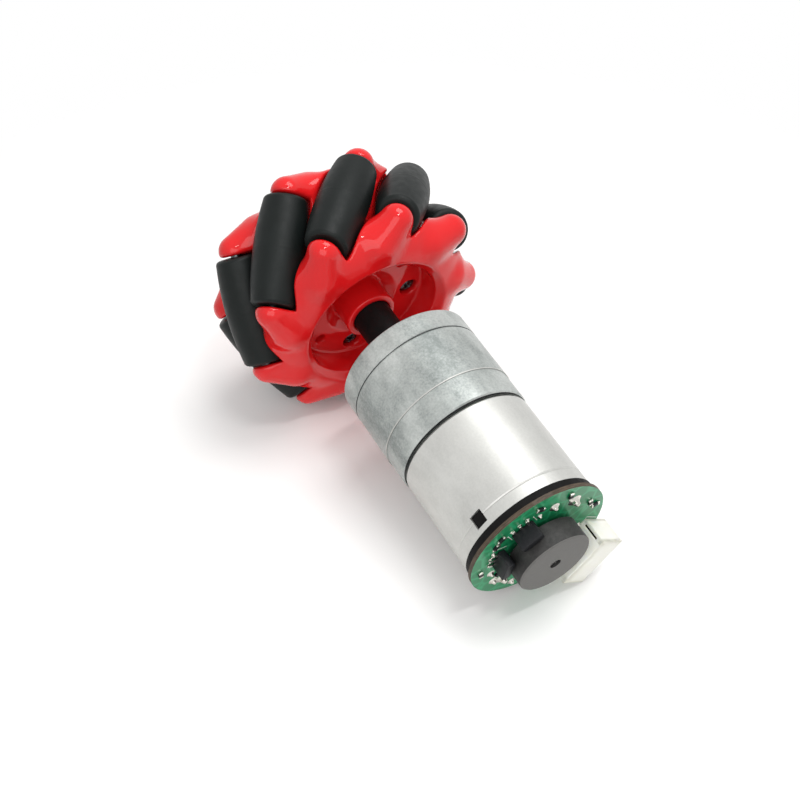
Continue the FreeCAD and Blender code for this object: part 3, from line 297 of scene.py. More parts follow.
def surface_net(field, low, high, step):
    """Vertices and quads of a distance field's zero surface, drawn to the surface after meshing."""
    axes = [np.arange(a, b + step, step) for a, b in zip(low, high)]
    shape = tuple(len(a) for a in axes)
    points = np.stack(np.meshgrid(*axes, indexing="ij"), axis=-1).reshape(-1, 3)
    values = field(points).reshape(shape)
    inside = values < 0
    cells = tuple(n - 1 for n in shape)
    total = cells[0] * cells[1] * cells[2]
    sums = np.zeros((total, 3))
    counts = np.zeros(total)
    faces = []
    for axis in range(3):
        near = [slice(None)] * 3
        far = [slice(None)] * 3
        near[axis] = slice(0, -1)
        far[axis] = slice(1, None)
        crossing = np.argwhere(inside[tuple(near)] != inside[tuple(far)])
        start = values[tuple(near)][tuple(crossing.T)]
        end = values[tuple(far)][tuple(crossing.T)]
        place = crossing.astype(float)
        place[:, axis] += start / (start - end)
        side_a = (axis + 1) % 3
        side_b = (axis + 2) % 3
        around = []
        keep = np.ones(len(crossing), bool)
        for step_a, step_b in ((0, 0), (-1, 0), (-1, -1), (0, -1)):
            cell = crossing.copy()
            cell[:, side_a] += step_a
            cell[:, side_b] += step_b
            keep &= np.all((cell >= 0) & (cell < np.array(cells)), axis=1)
            around.append(cell)
        flat = [np.ravel_multi_index(tuple(cell[keep].T), cells) for cell in around]
        for index in flat:
            counts += np.bincount(index, minlength=total)
            for part in range(3):
                sums[:, part] += np.bincount(index, weights=place[keep][:, part], minlength=total)
        quads = np.stack(flat, axis=1)
        outward = start[keep] < 0
        quads[~outward] = quads[~outward][:, ::-1]
        faces.append(quads)
    used = np.flatnonzero(counts)
    number = np.full(total, -1)
    number[used] = np.arange(len(used))
    vertices = np.array(low) + step * sums[used] / counts[used][:, None]
    return to_surface(field, vertices, step / 10), number[np.concatenate(faces)]


def to_surface(field, points, reach, rounds=4, least_slope=0.25):
    """Points moved along the field's slope until they lie on its zero surface."""
    for _ in range(rounds):
        value = field(points)
        slope = np.zeros_like(points)
        for part in range(3):
            shift = np.zeros(3)
            shift[part] = reach
            slope[:, part] = (field(points + shift) - field(points - shift)) / (2 * reach)
        steep = np.maximum(np.sum(slope * slope, axis=1), least_slope)
        points = points - slope * (value / steep)[:, None]
    return points


def mesh_piece(name, vertices, faces, place=None, sharp=None):
    """Object from vertices in millimetres, with smooth shading."""
    points = [tuple(vertex) for vertex in np.asarray(vertices) * MM]
    polygons = [tuple(int(index) for index in face) for face in faces]
    mesh = bpy.data.meshes.new(name)
    mesh.from_pydata(points, [], polygons)
    mesh.validate()
    mesh.shade_smooth()
    if sharp is not None:
        mesh.set_sharp_from_angle(angle=sharp)
    piece = bpy.data.objects.new(name, mesh)
    bpy.context.scene.collection.objects.link(piece)
    if place is not None:
        mesh.transform(place)
    mesh.update()
    return piece


def turned(profile, sides=96):
    """Vertices and quads of a closed outline of (radius, along) points turned about Y."""
    radius, along = np.array(profile, float).T
    angles = np.linspace(0, FULL_TURN, sides, endpoint=False)
    rings = [np.stack((radius * math.sin(a), along, radius * math.cos(a)), axis=1) for a in angles]
    count = len(profile)
    faces = []
    for ring in range(sides):
        following = (ring + 1) % sides
        for point in range(count):
            beyond = (point + 1) % count
            faces.append((ring * count + point, following * count + point,
                          following * count + beyond, ring * count + beyond))
    return np.concatenate(rings), faces


def spun(points, angle):
    """Points turned about Y, as a new array."""
    sine = math.sin(angle)
    cosine = math.cos(angle)
    x = points[:, 0] * cosine + points[:, 2] * sine
    z = -points[:, 0] * sine + points[:, 2] * cosine
    return np.stack((x, points[:, 1], z), axis=1)


def taken(shape):
    """Vertices and faces of a bmesh, which is freed."""
    shape.verts.index_update()
    vertices = np.array([vertex.co for vertex in shape.verts])
    faces = [tuple(vertex.index for vertex in face.verts) for face in shape.faces]
    shape.free()
    return vertices, faces


def block(size, bevel, middle=(0, 0, 0)):
    """Vertices and faces of a box with rounded edges."""
    shape = bmesh.new()
    bmesh.ops.create_cube(shape, size=1)
    bmesh.ops.scale(shape, vec=size, verts=shape.verts)
    bmesh.ops.bevel(shape, geom=shape.edges[:], offset=bevel, segments=BEVEL_STEPS, profile=0.5,
                    affect="EDGES", clamp_overlap=True)
    bmesh.ops.translate(shape, vec=middle, verts=shape.verts)
    return taken(shape)


def moved(shape, place):
    """Vertices and faces with the vertices carried by a matrix that is in millimetres."""
    vertices, faces = shape
    matrix = np.array(place)
    return vertices @ matrix[:3, :3].T + matrix[:3, 3], faces


def joined(shapes):
    """One set of vertices and faces from several."""
    vertices = []
    faces = []
    count = 0
    for points, polygons in shapes:
        faces += [tuple(int(index) + count for index in polygon) for polygon in polygons]
        vertices.append(points)
        count += len(points)
    return np.concatenate(vertices), faces


def on_board(angle, outward, across=0, twist=0):
    """Place on the board's rear face: X runs around the axis, -Y off the board and Z outward."""
    local = Matrix.Translation((across, BOARD_FACE, outward)) @ Matrix.Rotation(twist, 4, "Y")
    return Matrix.Rotation(angle, 4, "Y") @ local


def shade(name, colour, **inputs):
    """New material with one principled shader, its node tree and that shader."""
    material = bpy.data.materials.new(name)
    material.use_nodes = True
    tree = material.node_tree
    shader = tree.nodes["Principled BSDF"]
    shader.inputs["Base Color"].default_value = (*colour, 1)
    for label, value in inputs.items():
        shader.inputs[label.replace("_", " ").title().replace("Ior", "IOR")].default_value = value
    material.diffuse_color = (*colour, 1)
    return material, tree, shader


def feed(tree, shader, colour, roughness):
    """Link a shader's colour and roughness to the nodes that make them."""
    tree.links.new(colour, shader.inputs["Base Color"])
    tree.links.new(roughness, shader.inputs["Roughness"])


def add_node(tree, kind, inputs=(), **settings):
    """New node; an input is given a number or another node's output."""
    node = tree.nodes.new(kind)
    for label, value in settings.items():
        setattr(node, label, value)
    for label, value in dict(inputs).items():
        socket = node.inputs[label]
        if isinstance(value, bpy.types.NodeSocket):
            tree.links.new(value, socket)
        else:
            socket.default_value = value
    return node


def math_node(tree, operation, *values):
    """Result of a math node on numbers or other nodes' outputs."""
    return add_node(tree, "ShaderNodeMath", enumerate(values), operation=operation).outputs["Value"]


def object_space(tree, scale=(1, 1, 1)):
    """Coordinates fixed to the piece, stretched by the given scale."""
    where = add_node(tree, "ShaderNodeTexCoord").outputs["Object"]
    return add_node(tree, "ShaderNodeMapping", {"Vector": where, "Scale": scale}).outputs["Vector"]


def noise(tree, vector, scale, detail=4.0, roughness=0.55):
    """Soft random pattern, with scale features to the metre."""
    inputs = {"Vector": vector, "Scale": scale, "Detail": detail, "Roughness": roughness}
    return add_node(tree, "ShaderNodeTexNoise", inputs).outputs["Fac"]


def ramp(tree, factor, stops):
    """Colour ramp through (place, colour) stops."""
    node = add_node(tree, "ShaderNodeValToRGB", {"Fac": factor})
    while len(node.color_ramp.elements) < len(stops):
        node.color_ramp.elements.new(0.5)
    for element, (place, colour) in zip(node.color_ramp.elements, stops):
        element.position = place
        element.color = (*colour, 1)
    return node.outputs["Color"]


def span(tree, factor, low, high, from_low=0.3, from_high=0.7):
    """Factor brought into a range of numbers."""
    inputs = {"Value": factor, "From Min": from_low, "From Max": from_high, "To Min": low, "To Max": high}
    return add_node(tree, "ShaderNodeMapRange", inputs).outputs["Result"]


def bump(tree, shader, height, strength, distance):
    """Fine relief of a surface from a pattern of heights."""
    node = add_node(tree, "ShaderNodeBump", {"Height": height, "Strength": strength, "Distance": distance})
    tree.links.new(node.outputs["Normal"], shader.inputs["Normal"])


def blended(tree, factor, first, second):
    """Colour that runs from one source to another."""
    node = add_node(tree, "ShaderNodeMix", {"Factor": factor}, data_type="RGBA")
    colours = [socket for socket in node.inputs if socket.type == "RGBA"]
    for socket, source in zip(colours, (first, second)):
        tree.links.new(source, socket)
    return next(socket for socket in node.outputs if socket.type == "RGBA")


def on_flat_faces(tree, least=0.6):
    """One on faces that look along the axis, zero on those round it."""
    normal = add_node(tree, "ShaderNodeTexCoord").outputs["Normal"]
    facing = add_node(tree, "ShaderNodeSeparateXYZ", {0: normal}).outputs["Y"]
    return math_node(tree, "GREATER_THAN", math_node(tree, "ABSOLUTE", facing), least)


def red_plastic():
    """Glossy moulded plastic, almost even in colour."""
    material, tree, shader = shade("red_plastic", (0.7, 0.0095, 0.0115), specular_ior_level=0.36)
    space = object_space(tree)
    clouds = noise(tree, space, scale=70.0, detail=2.0)
    colour = ramp(tree, clouds, [(0.3, (0.67, 0.0085, 0.0105)), (0.7, (0.73, 0.011, 0.013))])
    roughness = span(tree, noise(tree, space, scale=240.0, detail=2.0), 0.05, 0.09)
    feed(tree, shader, colour, roughness)
    return material


def rubber():
    """Dark soft rubber with a faint sheen."""
    material, tree, shader = shade("roller_rubber", (0.0055, 0.0075, 0.007), specular_ior_level=0.2)
    space = object_space(tree)
    clouds = noise(tree, space, scale=260.0)
    colour = ramp(tree, clouds, [(0.3, (0.0045, 0.0065, 0.006)), (0.7, (0.0065, 0.009, 0.0085))])
    roughness = span(tree, noise(tree, space, scale=700.0), 0.42, 0.54)
    feed(tree, shader, colour, roughness)
    bump(tree, shader, noise(tree, space, scale=3200.0, detail=2.0), strength=0.08, distance=0.0002)
    return material


def mottled_metal(name, dark, light, roughness, metallic, grain):
    """Plated or cast metal with cloudy patches and a fine matt grain, smoother where it is light."""
    material, tree, shader = shade(name, light, metallic=metallic)
    clouds = noise(tree, object_space(tree, (1, 0.5, 1)), scale=110.0, detail=6.0, roughness=0.62)
    fine = noise(tree, object_space(tree), scale=2600.0, detail=3.0, roughness=0.65)
    both = math_node(tree, "MULTIPLY_ADD", fine, 0.3, clouds)
    patches = span(tree, both, 0, 1, from_low=0.46, from_high=0.84)
    smooth, rough = roughness
    colour = ramp(tree, patches, [(0.0, dark), (1.0, light)])
    feed(tree, shader, colour, span(tree, patches, rough, smooth, from_low=0, from_high=1))
    bump(tree, shader, fine, strength=grain, distance=0.0001)
    return material


def plain_metal(name, colour, roughness):
    """Bare metal with a fine random grain."""
    material, tree, shader = shade(name, colour, metallic=1.0)
    space = object_space(tree)
    dark = tuple(0.75 * part for part in colour)
    patches = ramp(tree, noise(tree, space, scale=500.0), [(0.3, dark), (0.7, colour)])
    grain = noise(tree, space, scale=1400.0)
    feed(tree, shader, patches, span(tree, grain, roughness * 0.75, roughness * 1.3))
    return material


def speckled(name, dark, light, roughness, gloss):
    """Matt moulded surface with small specks."""
    material, tree, shader = shade(name, light, specular_ior_level=gloss)
    space = object_space(tree)
    scale = 2200.0
    specks = noise(tree, space, scale, detail=6.0, roughness=0.7)
    colour = ramp(tree, specks, [(0.35, dark), (0.65, light)])
    feed(tree, shader, colour, span(tree, noise(tree, space, scale / 3), roughness * 0.85, roughness * 1.15))
    bump(tree, shader, specks, strength=0.15, distance=0.0001)
    return material


def circuit_board():
    """Green lacquer over faint copper tracks on both faces, bare brown laminate at the edge."""
    material, tree, shader = shade("board_lacquer", (0.009, 0.18, 0.08), specular_ior_level=0.35,
                                   coat_weight=0.1)
    on_face = on_flat_faces(tree)
    tracks = add_node(tree, "ShaderNodeTexVoronoi", {"Vector": object_space(tree), "Scale": 330.0},
                      feature="DISTANCE_TO_EDGE", distance="CHEBYCHEV").outputs["Distance"]
    green = ramp(tree, tracks, [(0.0, (0.022, 0.34, 0.14)), (0.06, (0.018, 0.29, 0.12)),
                                (0.1, (0.009, 0.215, 0.082))])
    layers = noise(tree, object_space(tree, (1, 6, 1)), scale=900.0)
    brown = ramp(tree, layers, [(0.3, (0.04, 0.028, 0.018)), (0.7, (0.1, 0.072, 0.048))])
    roughness = span(tree, on_face, 0.8, 0.32, from_low=0, from_high=1)
    feed(tree, shader, blended(tree, on_face, brown, green), roughness)
    bump(tree, shader, tracks, strength=0.1, distance=0.0002)
    return material


def ferrite():
    """Dark sintered magnet: ground grey faces, nearly black round its side."""
    material, tree, shader = shade("ferrite", (0.1, 0.097, 0.094))
    space = object_space(tree)
    specks = noise(tree, space, scale=1500.0, detail=5.0, roughness=0.6)
    ground = ramp(tree, specks, [(0.3, (0.1, 0.096, 0.09)), (0.7, (0.135, 0.131, 0.125))])
    clouds = noise(tree, space, scale=260.0, detail=7.0, roughness=0.72)
    side = ramp(tree, clouds, [(0.4, (0.006, 0.0058, 0.0056)), (0.72, (0.04, 0.038, 0.036))])
    colour = blended(tree, on_flat_faces(tree), side, ground)
    feed(tree, shader, colour, span(tree, specks, 0.55, 0.7))
    bump(tree, shader, specks, strength=0.08, distance=0.0001)
    return material


def clear_nylon():
    """Milky nylon that lets a little light through."""
    material, tree, shader = shade("socket_nylon", (0.93, 0.92, 0.85), subsurface_weight=0.25,
                                   subsurface_radius=(0.0015, 0.0014, 0.001), transmission_weight=0.12)
    space = object_space(tree)
    clouds = noise(tree, space, scale=300.0)
    colour = ramp(tree, clouds, [(0.3, (0.9, 0.89, 0.8)), (0.7, (0.95, 0.945, 0.88))])
    roughness = span(tree, noise(tree, space, scale=800.0), 0.32, 0.45)
    feed(tree, shader, colour, roughness)
    bump(tree, shader, noise(tree, space, scale=1500.0), strength=0.05, distance=0.0002)
    return material


LOOKS = {
    "red_plastic": red_plastic(),
    "roller_rubber": rubber(),
    "gearbox_metal": mottled_metal("gearbox_zinc", (0.2, 0.222, 0.214), (0.58, 0.605, 0.583),
                                   roughness=(0.34, 0.5), metallic=0.66, grain=0.3),
    "motor_metal": mottled_metal("motor_nickel", (0.46, 0.46, 0.44), (0.6, 0.6, 0.575),
                                 roughness=(0.4, 0.52), metallic=0.7, grain=0.1),
    "hardware": plain_metal("bright_steel", (0.52, 0.52, 0.51), roughness=0.28),
    "dark_steel": plain_metal("dark_steel", (0.1, 0.1, 0.105), roughness=0.2),
    "coupling_black": speckled("coupling_black", (0.003, 0.0034, 0.0034), (0.006, 0.0066, 0.0066),
                               roughness=0.45, gloss=0.15),
    "bush_brass": plain_metal("bush_brass", (0.62, 0.45, 0.19), roughness=0.35),
    "core_steel": plain_metal("core_steel", (0.3, 0.3, 0.29), roughness=0.45),
    "winding_copper": plain_metal("winding_copper", (0.62, 0.26, 0.11), roughness=0.3),
    "ferrite": ferrite(),
    "cap_plastic": speckled("cap_plastic", (0.004, 0.0036, 0.0036), (0.007, 0.0065, 0.0065),
                            roughness=0.6, gloss=0.1),
    "board_green": circuit_board(),
    "sensor_black": speckled("sensor_black", (0.006, 0.0066, 0.008), (0.011, 0.012, 0.014),
                             roughness=0.42, gloss=0.2),
    "terminal_metal": plain_metal("tinned_metal", (0.68, 0.66, 0.6), roughness=0.25),
    "socket_white": clear_nylon(),
}
for entry in frame["record"]["subparts"]:
    node = NODES[entry["node"]]
    node.data.materials.clear()
    node.data.materials.append(LOOKS[entry["material_slot"]])


def dress(piece, slot, body, *nodes):
    """Finish a new piece: its material, its body, and the CAD nodes that it stands for."""
    piece.data.materials.append(LOOKS[slot])
    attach(piece, body)
    if nodes:
        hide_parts(*nodes)


def finger_line():
    """Tip of the finger that holds the first roller, and the way it runs inward."""
    tip = np.array((0, 0, PITCH_RADIUS)) - ROLLER_AXIS * (ROOM_HALF + FINGER_TIP_SETBACK)
    outward = np.array((tip[0], 0, tip[2]))
    outward /= np.linalg.norm(outward)
    onward = np.array((outward[2], 0, -outward[0]))
    level = -outward * math.cos(FINGER_LEAN) - onward * math.sin(FINGER_LEAN)
    way = level * math.cos(FINGER_RISE) - np.array((0, math.sin(FINGER_RISE), 0))
    return tip, way


def barrel_radius(run):
    """Radius of a roller at a distance along its axis from its middle."""
    drop = ROLLER_RADIUS - ROLLER_END_RADIUS
    arc = (ROLLER_HALF ** 2 + drop ** 2) / (2 * drop)
    return ROLLER_RADIUS - arc + np.sqrt(np.maximum(arc ** 2 - np.square(run), 0))


def plate_field(points):
    """Distance field of the inner plate in the wheel's own frame."""
    radius = np.hypot(points[:, 0], points[:, 2])
    along = points[:, 1]
    front = past_line(radius, -along, (RING_FACE, HALF_WIDTH), (RING_RADIUS, RING_BACK + RIM_THICKNESS))
    field = smooth_max(-along - HALF_WIDTH, front, FACE_BLEND)
    field = smooth_max(field, radius - RING_RADIUS, RIM_BLEND)
    back = (along + RING_BACK + radius - RING_RADIUS) * math.sqrt(0.5)
    field = smooth_max(field, back, RIM_BLEND)
    drum = np.maximum(np.maximum(radius - DRUM_RADIUS, along), -along - RECESS_FLOOR)
    field = np.minimum(field, drum)

    tip, way = finger_line()
    for number in range(ROLLER_COUNT):
        local = spun(points, -ROLLER_TURN * number) - tip
        share = np.clip(local @ way / FINGER_LENGTH, 0, 1)
        apart = np.linalg.norm(local - share[:, None] * FINGER_LENGTH * way, axis=1)
        finger = apart - (FINGER_RADIUS + (FINGER_ROOT_RADIUS - FINGER_RADIUS) * share)
        field = smooth_min(field, finger, FINGER_BLEND)
    for number in range(ROLLER_COUNT):
        local = spun(points, -ROLLER_TURN * number) - np.array((0, 0, PITCH_RADIUS))
        run = local @ ROLLER_AXIS
        apart = np.sqrt(np.maximum(np.sum(local * local, axis=1) - run * run, 0))
        room = np.maximum(apart - barrel_radius(run) - ROOM_GAP, np.abs(run) - ROOM_HALF)
        field = smooth_max(field, -room, ROOM_BLEND)

    recess = rounded_corner(radius - RECESS_RADIUS, along + RECESS_FLOOR, RECESS_ROUND)
    lip = past_line(radius, along, (RECESS_RADIUS, LIP_DEPTH - HALF_WIDTH),
                    (RECESS_RADIUS + LIP_WIDTH, -HALF_WIDTH))
    recess = np.minimum(recess, lip)
    field = smooth_max(field, -recess, LIP_BLEND)
    hub = np.maximum(rounded_corner(radius - HUB_RADIUS, -along - HUB_END, HUB_ROUND), along)
    field = smooth_min(field, hub, HUB_ROUND)
    field = smooth_max(field, HUB_BORE - radius, BORE_BLEND)

    seat = (SCREW_OFFSET, SCREW_SEAT_RADIUS, SCREW_SEAT_DEPTH)
    pilot = (-SCREW_OFFSET, PILOT_RADIUS, RECESS_FLOOR)
    for number in range(SCREW_COUNT):
        for offset, hole_radius, depth in (seat, pilot):
            local = spun(points, -offset - SCREW_TURN * number)
            hole = np.maximum(np.hypot(local[:, 0], local[:, 2] - SCREW_CIRCLE) - hole_radius,
                              along + RECESS_FLOOR - depth)
            field = smooth_max(field, -hole, HOLE_BLEND)
    return smooth_max(field, along, BACK_BLEND)


def add_plates():
    """Two wheel plates from one moulding, the outer one turned over."""
    edge = RING_RADIUS + FINGER_RADIUS + PLATE_ROOM_ACROSS
    low = (-edge, -HALF_WIDTH - PLATE_ROOM_FRONT, -edge)
    high = (edge, PLATE_ROOM_BACK, edge)
    vertices, quads = surface_net(plate_field, low, high, PLATE_STEP)
    for name, node, place in (("inner_wheel_plate", "inner_plate", WHEEL_PLACE),
                              ("outer_wheel_plate", "outer_plate", WHEEL_PLACE @ TURN_OVER)):
        dress(mesh_piece(name, vertices, quads, place), "red_plastic", "wheel", node)


def roller_outline():
    """Closed outline of a barrel with rounded ends, a faint mould seam round its middle and a bore."""
    straight = ROLLER_HALF - ROLLER_EDGE
    runs = [straight * share for share in np.linspace(-1, 1, BARREL_POINTS)]
    runs += [-MOULD_LINE_HALF, MOULD_LINE_HALF]
    barrel = []
    for run in sorted(runs):
        seam = MOULD_LINE_HEIGHT if abs(run) < MOULD_LINE_HALF else 0
        barrel.append((barrel_radius(run) + seam, run))
    shoulder = barrel[-1][0] - ROLLER_EDGE
    for step in range(1, ROLLER_EDGE_STEPS + 1):
        turn = math.pi / 2 * step / ROLLER_EDGE_STEPS
        barrel.append((shoulder + ROLLER_EDGE * math.cos(turn), straight + ROLLER_EDGE * math.sin(turn)))
    head = [(radius, -run) for radius, run in reversed(barrel[-ROLLER_EDGE_STEPS:])]
    mouth = ROLLER_BORE + BORE_CHAMFER
    throat = ROLLER_HALF - BORE_CHAMFER
    bore = [(mouth, ROLLER_HALF), (ROLLER_BORE, throat), (ROLLER_BORE, -throat), (mouth, -ROLLER_HALF)]
    return head + barrel + bore


def add_rollers():
    """Barrel rollers, each on the axis of its own joint."""
    vertices, faces = turned(roller_outline())
    for number in range(1, ROLLER_COUNT + 1):
        joint = JOINTS[f"roller_spin_{number}"]
        lean = AXIS.rotation_difference(Vector(joint["axis"]))
        place = Matrix.Translation(Vector(joint["pos_m"])) @ lean.to_matrix().to_4x4()
        piece = mesh_piece(f"roller_sleeve_{number}", vertices, faces, place, EDGE_ANGLE)
        dress(piece, "roller_rubber", f"roller_{number}", f"roller_{number}")


def seam_ring(radius, along, width):
    """Thin ring that stands a hair above a round surface."""
    low = radius - SEAM_DEPTH
    high = radius + SEAM_PROUD
    return turned([(low, along), (high, along), (high, along + width), (low, along + width)], SEAM_SIDES)


def add_seams():
    """Rings of painted light: shade at the gearbox's cover, highlight on its case's edge, shade in the gap at the
    can.
    """
    case_low, case_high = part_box("gearbox_case")
    can_low, can_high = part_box("motor_can")
    case_radius = (case_high.x - case_low.x) / 2 / MM
    can_radius = (can_high.x - can_low.x) / 2 / MM
    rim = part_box("gearbox_rear_plate")[0].y / MM
    rings = (
        # Dark ring of painted shade in the seam between the gearbox's cover and case
        ("gearbox_seam_shade", "dark_steel", case_radius, case_high.y / MM - SEAM_SHADE_WIDTH / 2, SEAM_SHADE_WIDTH),
        # Ring in the lighter motor metal, a painted highlight on the edge of the gearbox case
        ("gearbox_edge_highlight", "motor_metal", case_radius, case_low.y / MM, EDGE_HIGHLIGHT_WIDTH),
        # Black ring of painted shade in the gap between the gearbox's rear plate and the can
        ("can_gap_shade", "coupling_black", can_radius, rim - CAN_GAP_SHADE_WIDTH, CAN_GAP_SHADE_WIDTH),
    )
    for name, slot, radius, along, width in rings:
        ring = seam_ring(radius, along, width)
        dress(mesh_piece(name, *ring, sharp=EDGE_ANGLE), slot, "motor")


def screw_head_field(points):
    """Distance field of a domed screw head with a cross recess, seated on y = 0."""
    x, y, z = points.T
    radius = np.hypot(x, z)
    dome_radius = (HEAD_RADIUS ** 2 + (HEAD_LENGTH / 2) ** 2) / HEAD_LENGTH
    dome = np.sqrt(radius ** 2 + (y - HEAD_LENGTH + dome_radius) ** 2) - dome_radius
    edge = rounded_corner(radius - HEAD_RADIUS, y - HEAD_LENGTH, HEAD_ROUND)
    head = np.maximum(smooth_max(edge, dome, HEAD_ROUND), -y)
    height = np.maximum(y - CROSS_FLOOR, 0)
    blade = CROSS_HALF_WIDTH + CROSS_WIDENING * height
    reach = CROSS_REACH + CROSS_LENGTHENING * height
    first = np.maximum(np.abs(x) - blade, np.abs(z) - reach)
    second = np.maximum(np.abs(z) - blade, np.abs(x) - reach)
    recess = np.maximum(np.minimum(first, second), CROSS_FLOOR - y)
    return smooth_max(head, -recess, CROSS_BLEND)


def screw_head():
    """Vertices and quads of one screw head."""
    edge = HEAD_RADIUS + HEAD_ROOM
    low = (-edge, -HEAD_ROOM, -edge)
    high = (edge, HEAD_LENGTH + HEAD_ROOM, edge)
    return surface_net(screw_head_field, low, high, HEAD_STEP)


def add_plate_screws(head):
    """Screws in the seats of both plates, each turned to another angle."""
    vertices, quads = head
    seat = -RECESS_FLOOR + SCREW_SEAT_DEPTH
    for side, place in (("inner", WHEEL_PLACE), ("outer", WHEEL_PLACE @ TURN_OVER)):
        heads = []
        for number in range(SCREW_COUNT):
            seated = spun(vertices, HEAD_TURN + HEAD_TURN_STEP * number) * np.array((1, -1, 1))
            seated = seated + np.array((0, seat, SCREW_CIRCLE))
            heads.append((spun(seated, SCREW_OFFSET + SCREW_TURN * number), quads[:, ::-1]))
        piece = mesh_piece(f"{side}_screw_heads", *joined(heads), place)
        dress(piece, "dark_steel", "wheel", f"{side}_plate_screws")


def add_hub_screw(head):
    """Large cross-headed screw in the outer end of the coupling."""
    vertices, quads = head
    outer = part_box("hub_screw")[1].y / MM
    scale = HUB_HEAD_RADIUS / HEAD_RADIUS
    vertices = vertices * np.array((scale, HUB_HEAD_LENGTH / HEAD_LENGTH, scale))
    vertices = vertices + np.array((0, outer - HUB_HEAD_LENGTH, 0))
    dress(mesh_piece("hub_screw_head", vertices, quads), "hardware", "wheel", "hub_screw")


def solder_joint(radius, height):
    """Small cone of solder with a hollow flank and a blunt tip."""
    flank = [(share * radius, -rise * height) for share, rise in SOLDER_FLANK]
    core = [(SOLDER_CORE, -height), (SOLDER_CORE, SOLDER_SINK)]
    return turned([(radius, SOLDER_SINK)] + flank + core, SOLDER_SIDES)


def add_solder():
    """Joints of the motor's terminals, the sensors' legs and the socket's pins."""
    joints = list(SOLDER_JOINTS)
    for angle in SENSOR_ANGLES:
        joints += [(math.degrees(angle) + turn, *LEG_JOINT) for turn in LEG_JOINT_TURNS]
    shapes = [moved(solder_joint(radius, height), on_board(math.radians(angle), outward))
              for angle, outward, radius, height in joints]
    for pin in range(SOCKET_PINS):
        across = (pin - (SOCKET_PINS - 1) / 2) * SOCKET_PITCH
        place = on_board(SOCKET_ANGLE, SOCKET_START - PIN_JOINT_BACK, across)
        shapes.append(moved(solder_joint(*PIN_JOINT), place))
    dress(mesh_piece("solder_joints", *joined(shapes), sharp=SOLDER_EDGE_ANGLE), "terminal_metal", "motor")


def add_chips():
    """Small flat resistors and capacitors with tinned ends."""
    bodies = []
    ends = []
    for angle, outward, twist in CHIPS:
        place = on_board(math.radians(angle), outward, twist=math.radians(twist))
        bodies.append(moved(block(CHIP_SIZE, CHIP_BEVEL, (0, -CHIP_LIFT, 0)), place))
        for side in (-CHIP_END_PLACE, CHIP_END_PLACE):
            ends.append(moved(block(CHIP_END_SIZE, CHIP_END_BEVEL, (side, -CHIP_END_LIFT, 0)), place))
    dress(mesh_piece("chip_bodies", *joined(bodies), sharp=CHIP_EDGE_ANGLE), "sensor_black", "motor")
    dress(mesh_piece("chip_ends", *joined(ends), sharp=CHIP_EDGE_ANGLE), "terminal_metal", "motor")


def add_board_marks():
    """Printed white lines at the corners of the socket and beside the sensors."""
    lines = []
    half = SOCKET_WIDTH / 2 + SOCKET_MARK_GAP
    for side in (-1, 1):
        place = on_board(SOCKET_ANGLE, SOCKET_START + LONG_MARK_OUT, side * half)
        lines.append(moved(block(LONG_MARK, MARK_BEVEL), place))
        place = on_board(SOCKET_ANGLE, SOCKET_START - SHORT_MARK_BACK, side * (half - SHORT_MARK[0] / 2))
        lines.append(moved(block(SHORT_MARK, MARK_BEVEL), place))
    for angle in SENSOR_ANGLES:
        for across in (-SENSOR_MARK_ACROSS, SENSOR_MARK_ACROSS):
            place = on_board(angle, DISC_RADIUS + SENSOR_MARK_OUT, across)
            lines.append(moved(block(SENSOR_MARK, MARK_BEVEL), place))
    dress(mesh_piece("board_marks", *joined(lines)), "socket_white", "motor")


def sensor_case():
    """Flat sensor package whose face towards the disc has sloped sides."""
    width, height, thickness = SENSOR_SIZE
    half = width / 2
    outline = [(-half, thickness), (half, thickness), (half, SENSOR_SLOPE),
               (half - SENSOR_SLOPE, 0), (-half + SENSOR_SLOPE, 0), (-half, SENSOR_SLOPE)]
    shape = bmesh.new()
    top = [shape.verts.new((x, -height, z)) for x, z in outline]
    foot = [shape.verts.new((x, -SENSOR_LIFT, z)) for x, z in outline]
    shape.faces.new(top)
    shape.faces.new(list(reversed(foot)))
    for index in range(len(outline)):
        beyond = (index + 1) % len(outline)
        shape.faces.new((top[beyond], top[index], foot[index], foot[beyond]))
    bmesh.ops.recalc_face_normals(shape, faces=shape.faces[:])
    bmesh.ops.bevel(shape, geom=shape.edges[:], offset=SENSOR_BEVEL, segments=BEVEL_STEPS, profile=0.5,
                    affect="EDGES")
    return taken(shape)


def add_sensors():
    """Sensor packages at the edge of the disc, on three short legs each."""
    case = sensor_case()
    thickness = SENSOR_SIZE[2]
    cases = []
    legs = []
    for angle in SENSOR_ANGLES:
        place = on_board(angle, DISC_RADIUS + SENSOR_GAP)
        cases.append(moved(case, place))
        for across in (-LEG_PITCH, 0, LEG_PITCH):
            leg = block(LEG_SIZE, LEG_BEVEL, (across, -LEG_LIFT, thickness + LEG_REACH))
            legs.append(moved(leg, place))
    piece = mesh_piece("sensor_cases", *joined(cases), sharp=EDGE_ANGLE)
    dress(piece, "sensor_black", "motor", "hall_sensors")
    dress(mesh_piece("sensor_legs", *joined(legs), sharp=EDGE_ANGLE), "terminal_metal", "motor")


